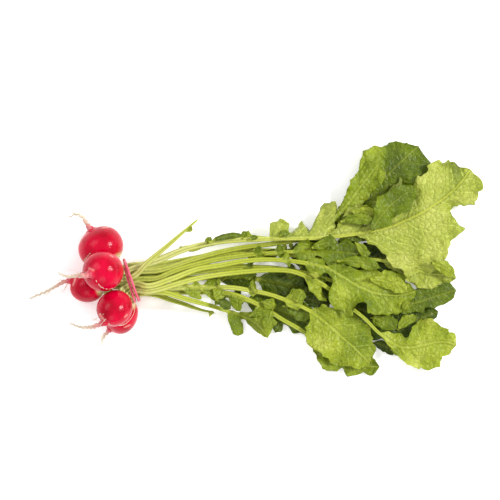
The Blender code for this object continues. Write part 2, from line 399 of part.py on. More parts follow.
class Bulb:
    """The bent axis of a radish, from its crown at -1 to its root at 1, and its tail."""

    def __init__(self, plan):
        to_crown = unit(plan["crown"]) * plan["crown_half"]
        to_root = unit(plan["root"]) * plan["root_half"]
        self.middle = np.array(plan["middle"])
        self.along = (to_root - to_crown) / 2
        self.bend = (to_root + to_crown) / 2
        self.radius = plan["radius"]
        self.root_radius = plan["root_radius"]
        self.tail = np.array(plan["tail"])

    def point(self, u):
        return self.middle + self.along * u + self.bend * u * u

    def crown_top(self):
        """Middle of the crown's flat top, and the way it faces."""
        slope = self.along + 2 * self.bend * CROWN_CUT
        return self.point(CROWN_CUT), -unit(slope)

    def rings(self):
        """Stations down the radish as (middle, radius, sides)."""
        first, last = math.asin(CROWN_CUT), math.asin(ROOT_CUT)
        stations = []
        for angle in np.linspace(first, last, BULB_RINGS):
            u = math.sin(angle)
            stations.append((self.point(u), self.radius * (1 - abs(u) ** BULB_FULLNESS) ** 0.5,
                             BULB_SIDES))
        knots = np.vstack((self.point(0.8), self.point(ROOT_CUT), self.tail))
        at = distances(knots)
        slopes = smooth_slopes(at, knots)
        neck_radius = stations[-1][1]
        length = at[-1] - at[1]
        for share in ROOT_SHARES:
            where = np.array([at[1] + share * length])
            taper = self.root_radius * (1 - share) + ROOT_TIP_RADIUS * share
            flare = (neck_radius - self.root_radius) * math.exp(-share * ROOT_FLARE)
            stations.append((read_curve(at, knots, slopes, where)[0], taper + flare, ROOT_SIDES))
        return stations


def make_radish(name, bulb, surface):
    """Rings round the bent axis, from the flat crown to the tip of the taproot."""
    stations = bulb.rings()
    middles = np.array([middle for middle, _, _ in stations])
    tangents = np.gradient(middles, axis=0)
    tangents[0] = -bulb.crown_top()[1]
    across = unit(np.cross(tangents[0], UP))
    rings = []
    for (middle, radius, sides), tangent in zip(stations, tangents):
        tangent = unit(tangent)
        across = unit(across - tangent * np.dot(across, tangent))
        other = np.cross(tangent, across)
        ring = []
        for k in range(sides):
            turn = 2 * math.pi * k / sides
            point = middle + (across * math.cos(turn) + other * math.sin(turn)) * radius
            if point[2] < FLAT_SPOT:
                point[2] = 0.0
            ring.append(tuple(point))
        rings.append(ring)
    bm = bmesh.new()
    made = skin(bm, rings)
    fan(bm, made[0])
    fan(bm, made[-1])
    return add_object(name, bm, surface)


def neck_slot(plan, name):
    """Where a leaf's stalk passes the neck."""
    height = NECK_ROWS[plan["row"]] + STALK_RAISED.get(name, 0.0)
    return NECK + neck_ways()[1] * plan["place"] + UP * height


def neck_ways():
    """The way along the stalks at the neck, and the way across it, to their left."""
    along = np.array([math.cos(NECK_TURN), math.sin(NECK_TURN), 0.0])
    return along, np.cross(UP, along)


def stalk_starts(bulbs):
    """The first points of each stalk, from its crown to just past the band.

    The stalks of a radish run side by side along one guide, a curve that leaves the crown
    squarely and enters the neck along it, and they keep their places in the neck on the way.
    """
    along, _ = neck_ways()
    starts = {}
    for radish, bulb in bulbs.items():
        top, facing = bulb.crown_top()
        names = [name for name, plan in LEAVES.items() if plan["radish"] == radish]
        slots = np.array([neck_slot(LEAVES[name], name) for name in names])
        places = np.array([LEAVES[name]["place"] for name in names])
        entry = slots.mean(axis=0) - along * BAND_ROOM
        reach = np.linalg.norm(entry - top) * GUIDE_PULL
        for name, slot, place in zip(names, slots, places):
            sideways, rise = place - places.mean(), slot[2] - slots[:, 2].mean()
            points = []
            for t in GUIDE_STEPS:
                ease = t * t * (3 - 2 * t)
                spot = (top + (entry - top) * ease + facing * reach * t * (1 - t) ** 2
                        - along * reach * t * t * (1 - t))
                tangent = ((entry - top) * 6 * t * (1 - t) + facing * reach * (1 - t) * (1 - 3 * t)
                           + along * reach * t * (3 * t - 2))
                tangent = unit(tangent) if 0 < t < 1 else (facing if t == 0 else along)
                across = unit(np.cross(UP, tangent))
                crowding = CROWN_CROWDING + (1 - CROWN_CROWDING) * t
                points.append(spot + (across * sideways + np.cross(tangent, across) * rise) * crowding)
            points[0] = points[0] + facing * SEAT_GAP
            points = [points[0]] + [
                spot for spot in points[1:-1]
                if min(np.linalg.norm(spot - points[0]), np.linalg.norm(points[-1] - spot))
                > STALK_BASE_RADIUS] + [points[-1]]
            starts[name] = points + [slot + along * BAND_ROOM], facing
    return starts


class Leaf:
    """Rows of points for the top and the bottom face of one leaf, stalk and blade."""

    def __init__(self, name, plan, start, facing):
        self.name = name
        self.side_columns = 3 if name in WIDE_LEAVES else 2
        self.facing = facing
        route = np.array([row + (0,) * (6 - len(row)) for row in plan["rows"]], float)
        run = distances(np.vstack((start[-1][:2], route[:, :2])))[1:]
        share = np.clip(run / plan["drop"], 0, 1)
        falling = (1 - share) ** 2 * (1 + 2 * share)
        height = plan["lie"] + (start[-1][2] - plan["lie"]) * falling
        knots = np.vstack((start, np.column_stack((route[:, :2], height))))
        widths = np.vstack((np.zeros((len(start), 2)), route[:, 2:4]))
        leans = np.vstack((np.zeros((len(start), 2)), route[:, 4:]))
        at = distances(knots)
        stations = self.stations(at, widths)
        self.centre = read_curve(at, knots, smooth_slopes(at, knots), stations)
        reach = np.maximum(read_curve(at, widths, level_slopes(at, widths), stations), 0)
        lean = np.column_stack([np.interp(stations, at, leans[:, k]) for k in (0, 1)])
        in_neck = at[len(start) - 1]
        self.share = (stations - in_neck) / (at[-1] - in_neck)
        self.free = stations > in_neck + 2.0        # rows that the pile may lift
        self.build(reach, lean, stations, plan["wave"])

    def stations(self, at, widths):
        """Distances of the mesh rows: close on the blade, far apart on the bare stalk."""
        rows = [at[0]]
        for k in range(len(at) - 1):
            bare = widths[k].max() + widths[k + 1].max() < 0.5
            step = STALK_STEP if bare else BLADE_STEP
            count = max(1, math.ceil((at[k + 1] - at[k]) / step - 0.25))
            rows.extend(np.linspace(at[k], at[k + 1], count + 1)[1:])
        return np.array(rows)

    def stalk_radius(self):
        """Radius of the stalk and then the midrib, row by row."""
        return np.interp(
            self.share, (-0.2, 0.0, 0.62, 1.0),
            (STALK_BASE_RADIUS, STALK_NECK_RADIUS, STALK_END_RADIUS, RIB_END_RADIUS))

    def build(self, reach, lean, stations, wave):
        radius = self.stalk_radius()
        tangent = np.gradient(self.centre, axis=0)
        tangent[0] = self.facing
        tangent /= np.linalg.norm(tangent, axis=1)[:, None]
        side = np.cross(UP, tangent)                # to the left of the route
        side /= np.linalg.norm(side, axis=1)[:, None]
        normal = np.cross(tangent, side)
        ahead = np.cross(side, UP)
        count = self.side_columns
        self.top = np.zeros((len(stations), 2 * count + 1, 3))
        self.bottom = np.zeros_like(self.top)
        for column in range(2 * count + 1):
            a = abs(column - count) / count         # 0 at the midrib, 1 at the edge
            sign = 1.0 if column < count else -1.0
            which = 0 if column < count else 1
            wide = reach[:, which]
            wide = np.maximum(wide, radius)
            blade = np.clip((wide - radius) / (1.5 * radius), 0, 1)
            rib = 0.9 * radius
            beyond = max(0.0, (a - 1 / count) / (1 - 1 / count))
            flat_out = np.where(a * count < 1.001, rib * a * count, rib + (wide - rib) * beyond)
            round_out = radius * math.sin(a * math.pi / 2)
            out = round_out * (1 - blade) + flat_out * blade
            if column in (0, 2 * count):            # the waved edge
                teeth = np.where(np.arange(len(stations)) % 2 == 0, 1.0, -1.0)
                out = out * (1 + TOOTH * teeth * (blade > 0.99))
            half_round = np.maximum(radius * math.cos(a * math.pi / 2), EDGE / 2)
            crest = BLADE / 2 + (0.3 * radius if a == 0 else 0.0)
            keel = BLADE / 2 + (0.8 * radius if a == 0 else 0.0)
            above = half_round * (1 - blade) + crest * blade
            below = half_round * (1 - blade) + keel * blade
            lift = blade * a * a * wave[0] * np.sin(
                2 * math.pi * stations / wave[1] + (0.0 if sign > 0 else 1.9))
            # The blade is upright in section, the stalk square to its own run.
            stand = normal * (1 - blade)[:, None] + UP * blade[:, None]
            forward = lean[:, which] * np.maximum(out - rib, 0) * blade
            flat = (self.centre + side * (sign * out)[:, None] + ahead * forward[:, None]
                    + UP * lift[:, None])
            self.top[:, column] = flat + stand * above[:, None]
            self.bottom[:, column] = flat - stand * below[:, None]
        self.stiff = np.maximum(reach[:, 0], reach[:, 1]) < 3.0

    def triangles(self, face):
        """The face's triangles, split alike above and below."""
        a, b = face[:-1, :-1], face[:-1, 1:]
        c, d = face[1:, 1:], face[1:, :-1]
        both = np.stack((np.stack((a, b, c), axis=2), np.stack((a, c, d), axis=2)), axis=2)
        return both                                # rows, columns, two, corners, xyz

    def raise_over(self, pile):
        """Lifts the leaf clear of the surface and of the leaves under it."""
        for _ in range(9):
            need = pile.need(self.triangles(self.bottom))
            lift = np.zeros(self.top.shape[:2])
            first, second = need[..., 0], need[..., 1]
            whole = np.maximum(first, second)
            for rows, columns, amount in (
                    (slice(None, -1), slice(None, -1), whole), (slice(1, None), slice(1, None), whole),
                    (slice(None, -1), slice(1, None), first), (slice(1, None), slice(None, -1), second)):
                lift[rows, columns] = np.maximum(lift[rows, columns], amount)
            lift[~self.free] = 0.0
            if lift.max() < 0.01:
                break
            lift = self.relaxed(lift)
            self.top[..., 2] += lift
            self.bottom[..., 2] += lift

    def relaxed(self, lift):
        """Spreads each lift smoothly along the leaf, and never below what is needed."""
        for _ in range(14):
            stiff = lift[self.stiff]
            lift[self.stiff] = stiff.max(axis=1)[:, None]
            spread = lift.copy()
            spread[1:-1] = (lift[:-2] + 2 * lift[1:-1] + lift[2:]) / 4
            spread[-1] = (lift[-2] + lift[-1]) / 2
            sideways = spread.copy()
            sideways[:, 1:-1] = (spread[:, :-2] + 2 * spread[:, 1:-1] + spread[:, 2:]) / 4
            lift = np.maximum(lift, sideways)
            lift[~self.free] = 0.0
        return lift

    def make(self, surface):
        rings = [[tuple(p) for p in top] + [tuple(p) for p in low[::-1]]
                 for top, low in zip(self.top, self.bottom)]
        bm = bmesh.new()
        made = [[bm.verts.new(point) for point in ring] for ring in rings]
        last = 4 * self.side_columns + 1            # index of the bottom point under point 0
        for near, far in zip(made[:-1], made[1:]):
            for i in range(last + 1):
                k = (i + 1) % (last + 1)
                if i < last // 2 or i == last:
                    bm.faces.new((near[i], near[k], far[k]))
                    bm.faces.new((near[i], far[k], far[i]))
                else:
                    bm.faces.new((near[i], near[k], far[i]))
                    bm.faces.new((near[k], far[k], far[i]))
        for ring in (made[0], made[-1]):
            for i in range(last // 2):
                upper, lower = ring[i:i + 2], (ring[last - i], ring[last - i - 1])
                bm.faces.new((upper[0], upper[1], lower[1]))
                bm.faces.new((upper[0], lower[1], lower[0]))
        return add_object(self.name, bm, surface)


class Pile:
    """Height of what lies on the surface so far, over a fine square grid."""

    LOW = np.array([-150.0, -90.0])
    HIGH = np.array([160.0, 90.0])

    def __init__(self):
        size = ((self.HIGH - self.LOW) / CELL).astype(int) + 2
        self.height = np.full(size, -GAP)

    def cells(self, corners):
        """Grid cells under a triangle, with the triangle's height at each."""
        low = np.floor((corners[:, :2].min(axis=0) - self.LOW) / CELL).astype(int)
        high = np.ceil((corners[:, :2].max(axis=0) - self.LOW) / CELL).astype(int) + 1
        gx = np.arange(low[0], high[0])
        gy = np.arange(low[1], high[1])
        x = gx[:, None] * CELL + self.LOW[0] - corners[0, 0]
        y = gy[None, :] * CELL + self.LOW[1] - corners[0, 1]
        (ux, uy, uz), (vx, vy, vz) = corners[1] - corners[0], corners[2] - corners[0]
        area = ux * vy - uy * vx
        if abs(area) < 1e-9:
            return None
        s = (x * vy - y * vx) / area
        t = (y * ux - x * uy) / area
        inside = (s >= -0.02) & (t >= -0.02) & (s + t <= 1.02)
        return (slice(low[0], high[0]), slice(low[1], high[1])), inside, corners[0, 2] + s * uz + t * vz

    def need(self, triangles):
        """How far each triangle must rise to clear what lies under it."""
        shape = triangles.shape[:-2]
        result = np.zeros(int(np.prod(shape)))
        for k, corners in enumerate(triangles.reshape(-1, 3, 3)):
            found = self.cells(corners)
            floor = max(0.0, -corners[:, 2].min())
            if found is not None:
                where, inside, height = found
                short = np.where(inside, self.height[where] + GAP - height, 0.0)
                floor = max(floor, short.max())
            result[k] = floor
        return result.reshape(shape)

    def add(self, triangles):
        for corners in triangles.reshape(-1, 3, 3):
            found = self.cells(corners)
            if found is not None:
                where, inside, height = found
                self.height[where] = np.where(inside, np.maximum(self.height[where], height),
                                              self.height[where])


def band_path():
    """The band's middle line: twice round the stalks, one turn beside the other.

    At each angle it passes just outside the stalk that reaches furthest that way. The turns
    swap sides where the outer one climbs over the inner one.
    """
    along, across = neck_ways()
    middle_height = (NECK_ROWS[0] + NECK_ROWS[-1]) / 2
    stalks = np.array([(plan["place"], neck_slot(plan, name)[2] - middle_height)
                       for name, plan in LEAVES.items()])
    clear = STALK_NECK_RADIUS + STRAND_RADIUS + GAP + 0.1
    points = []
    for k in range(2 * BAND_STEPS):
        turn = 2 * math.pi * k / BAND_STEPS
        facing = np.array([-math.cos(turn), math.sin(turn)])
        furthest = stalks[np.argmax(stalks @ facing)]
        spot = furthest + facing * (clear + BAND_HOP * (1 + math.sin(turn / 2)))
        shift = BAND_SPREAD * math.cos(turn / 2)
        points.append(NECK + UP * middle_height + across * spot[0] + UP * spot[1] + along * shift)
    return np.array(points)


def make_band(surface):
    path = band_path()
    ahead = np.roll(path, -1, axis=0) - np.roll(path, 1, axis=0)
    along, _ = neck_ways()
    bm = bmesh.new()
    rings = []
    for point, tangent in zip(path, ahead):
        tangent = unit(tangent)
        first = unit(along - tangent * np.dot(along, tangent))
        second = np.cross(tangent, first)
        turns = [2 * math.pi * k / STRAND_SIDES for k in range(STRAND_SIDES)]
        rings.append([tuple(point + (first * math.cos(a) + second * math.sin(a)) * STRAND_RADIUS)
                      for a in turns])
    made = skin(bm, rings)
    for i in range(STRAND_SIDES):
        k = (i + 1) % STRAND_SIDES
        bm.faces.new((made[-1][i], made[-1][k], made[0][k]))
        bm.faces.new((made[-1][i], made[0][k], made[0][i]))
    return add_object("rubber_band", bm, surface)


def centre_on_origin(made):
    """Moves every mesh so that the origin is under the middle of the bunch's box."""
    corners = np.array([v.co for item in made for v in item.data.vertices])
    low, high = corners.min(axis=0), corners.max(axis=0)
    shift = ((low + high) / 2)[:2]
    for item in made:
        for vertex in item.data.vertices:
            vertex.co.x -= shift[0]
            vertex.co.y -= shift[1]
            vertex.co.z -= low[2]


def main():
    clear_scene()
    made = []
    bulbs = {name: Bulb(plan) for name, plan in RADISHES.items()}
    skin_red = material("radish_red", RED, 0.32)
    for name, bulb in bulbs.items():
        made.append(make_radish(name, bulb, skin_red))
    starts = stalk_starts(bulbs)
    pile = Pile()
    for name, plan in LEAVES.items():
        leaf = Leaf(name, plan, *starts[name])
        leaf.raise_over(pile)
        pile.add(leaf.triangles(leaf.top))
        made.append(leaf.make(material(name + "_green", plan["tone"], 0.5)))
    made.append(make_band(material("band_pink", BAND_PINK, 0.45)))
    centre_on_origin(made)


main()
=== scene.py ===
import math

import bpy
import numpy as np
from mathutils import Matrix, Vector
from mathutils.bvhtree import BVHTree


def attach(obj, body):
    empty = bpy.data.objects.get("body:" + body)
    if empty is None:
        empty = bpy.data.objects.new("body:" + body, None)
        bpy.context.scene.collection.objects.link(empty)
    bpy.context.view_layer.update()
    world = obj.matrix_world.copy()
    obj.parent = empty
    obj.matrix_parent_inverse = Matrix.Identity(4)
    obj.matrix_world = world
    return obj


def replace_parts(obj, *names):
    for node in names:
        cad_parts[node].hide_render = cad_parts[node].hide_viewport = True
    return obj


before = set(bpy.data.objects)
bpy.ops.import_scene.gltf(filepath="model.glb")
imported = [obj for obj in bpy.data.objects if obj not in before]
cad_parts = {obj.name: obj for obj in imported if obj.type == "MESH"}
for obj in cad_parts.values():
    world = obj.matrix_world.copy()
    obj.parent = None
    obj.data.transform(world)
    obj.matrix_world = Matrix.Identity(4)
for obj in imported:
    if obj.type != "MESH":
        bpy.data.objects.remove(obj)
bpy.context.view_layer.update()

# A bunch of radishes. The tables give the plan of the bunch in millimetres, and the leaves are
# laid on each other from the lowest up, as in the CAD model, before each one gets its fine form.
MM = 0.001                      # one millimetre, in metres
GAP = 0.42                      # clear distance kept between neighbouring pieces
UP = np.array([0.0, 0.0, 1.0])

# The neck of the bunch, where the band holds the stalks side by side in four rows.
NECK = np.array([-80.0, -13.4, 0.0])
NECK_TURN = math.radians(17.6)  # how far the stalks point away from +X at the neck
NECK_ROWS = (12.0, 16.2, 20.7, 24.9)   # height of the stalks' middles, row by row
STALK_NECK_RADIUS = 1.95
STALK_BASE_RADIUS = 1.7         # where a stalk springs from the crown
STALK_END_RADIUS = 1.35         # where the blade begins
RIB_END_RADIUS = 0.55           # the midrib at the leaf's tip
CROWN_CROWDING = 0.86           # stalks stand closer on the crown than in the neck
GUIDE_STEPS = (0.0, 0.3, 0.65, 1.0)    # where a stalk's points stand between crown and neck
SEAT_GAP = 0.8                  # between a crown's flat top and the stalks that stand on it
BAND_ROOM = 2.6                 # straight run of the stalks on either side of the neck's middle

# Leaves
BLADE = 0.9                     # thickness of a blade, measured upright
EDGE = 0.6                      # least thickness at a stalk's side edges
BLADE_STEP = 6.4                # longest mesh row along a blade
STALK_STEP = 13.0               # longest mesh row along a bare stalk
TOOTH = 0.055                   # how far the waved edge swings, as a share of the width
CELL = 0.35                     # cell of the height map that stacks the leaves
STEP_SLACK = 0.25               # a stretch gets one row more only past this much of one
BARE_WIDTH = 0.5                # a leaf narrower than this is bare stalk
STIFF_WIDTH = 3.0               # a row narrower than this is lifted as a whole
UNFOLD = 1.5                    # how soon a stalk opens into its blade, in radii
RIB_WIDTH = 0.9                 # half the midrib's width, in radii
CAD_CREST = 0.3                 # how far it stands over the solid's blade, in radii
CAD_KEEL = 0.8                  # and under it
EDGE_PHASE = 1.9                # how far the right edge's waves are out of step with the left's
LIFT_ROUNDS = 9                 # most rounds of lifting a leaf clear of the pile
LIFT_ENOUGH = 0.01              # a smaller lift than this is left out
SPREAD_ROUNDS = 14              # rounds of spreading each lift along the leaf
# Where a stalk has which radius, as shares of its run from the neck
STALK_SHARES = (-0.2, 0.0, 0.62, 1.0)
STALK_RADII = (STALK_BASE_RADIUS, STALK_NECK_RADIUS, STALK_END_RADIUS, RIB_END_RADIUS)

# Radishes
CROWN_CUT = -0.88               # the crown's flat top, in the bulb's own half lengths
ROOT_CUT = 0.965                # where the bulb hands over to its taproot
ROOT_TIP_RADIUS = 0.45
ROOT_FLARE = 14                 # how soon the bulb's end narrows to its taproot
BULB_FULLNESS = 2.15            # 2 is an ellipse, more is fuller towards the ends

# Rubber band
STRAND_RADIUS = 0.7
BAND_SPREAD = 1.35              # half the distance between the turns, along the stalks
BAND_HOP = 0.95                 # half the height of the outer turn over the inner one

# Each radish: its middle, the radius round its axis, half its length towards the crown and
# towards the root, the way its crown and its root point, the radius of its taproot, and
# the points that the taproot runs through.
RADISHES = {
    "radish_top": dict(
        middle=(-99.3, 8.2, 14.2), radius=14.7, crown_half=13.2, root_half=13.0,
        crown=(0.50, -0.86, 0.08), root=(-0.50, 0.86, 0.0), root_radius=2.0,
        tail=((-108.8, 24.0, 13.4), (-111.2, 27.4, 12.4), (-115.8, 29.3, 10.6),
              (-120.0, 27.2, 8.8))),
    "radish_upper": dict(
        middle=(-97.0, -7.2, 37.0), radius=12.8, crown_half=13.2, root_half=13.2,
        crown=(0.55, -0.08, -0.83), root=(-0.58, -0.10, 0.80), root_radius=1.9,
        tail=((-108.9, -10.0, 49.0), (-113.0, -9.8, 46.8), (-118.4, -10.4, 40.8),
              (-122.5, -9.6, 36.0), (-126.0, -8.0, 32.5))),
    "radish_small": dict(
        middle=(-108.2, -16.8, 9.9), radius=10.3, crown_half=10.6, root_half=10.4,
        crown=(0.95, 0.10, 0.28), root=(-0.93, 0.30, -0.12), root_radius=1.7,
        tail=((-122.0, -13.6, 7.4), (-127.4, -16.4, 5.6), (-134.7, -20.2, 3.4),
              (-141.0, -22.8, 1.8), (-146.0, -25.0, 0.8))),
    "radish_front": dict(
        middle=(-89.9, -30.8, 33.6), radius=11.1, crown_half=12.0, root_half=12.0,
        crown=(0.46, 0.56, -0.68), root=(-0.52, -0.72, 0.42), root_radius=1.7,
        tail=((-98.8, -40.6, 38.2), (-102.6, -42.2, 36.4), (-108.0, -42.8, 31.8),
              (-114.3, -42.0, 27.0), (-118.8, -40.0, 23.6))),
    "radish_lower": dict(
        middle=(-87.2, -35.5, 10.9), radius=11.3, crown_half=12.8, root_half=11.4,
        crown=(0.26, 0.84, 0.48), root=(-0.58, -0.78, -0.24), root_radius=1.6,
        tail=((-95.4, -46.2, 6.4), (-97.6, -49.4, 4.6), (-99.4, -55.0, 2.0))),
}

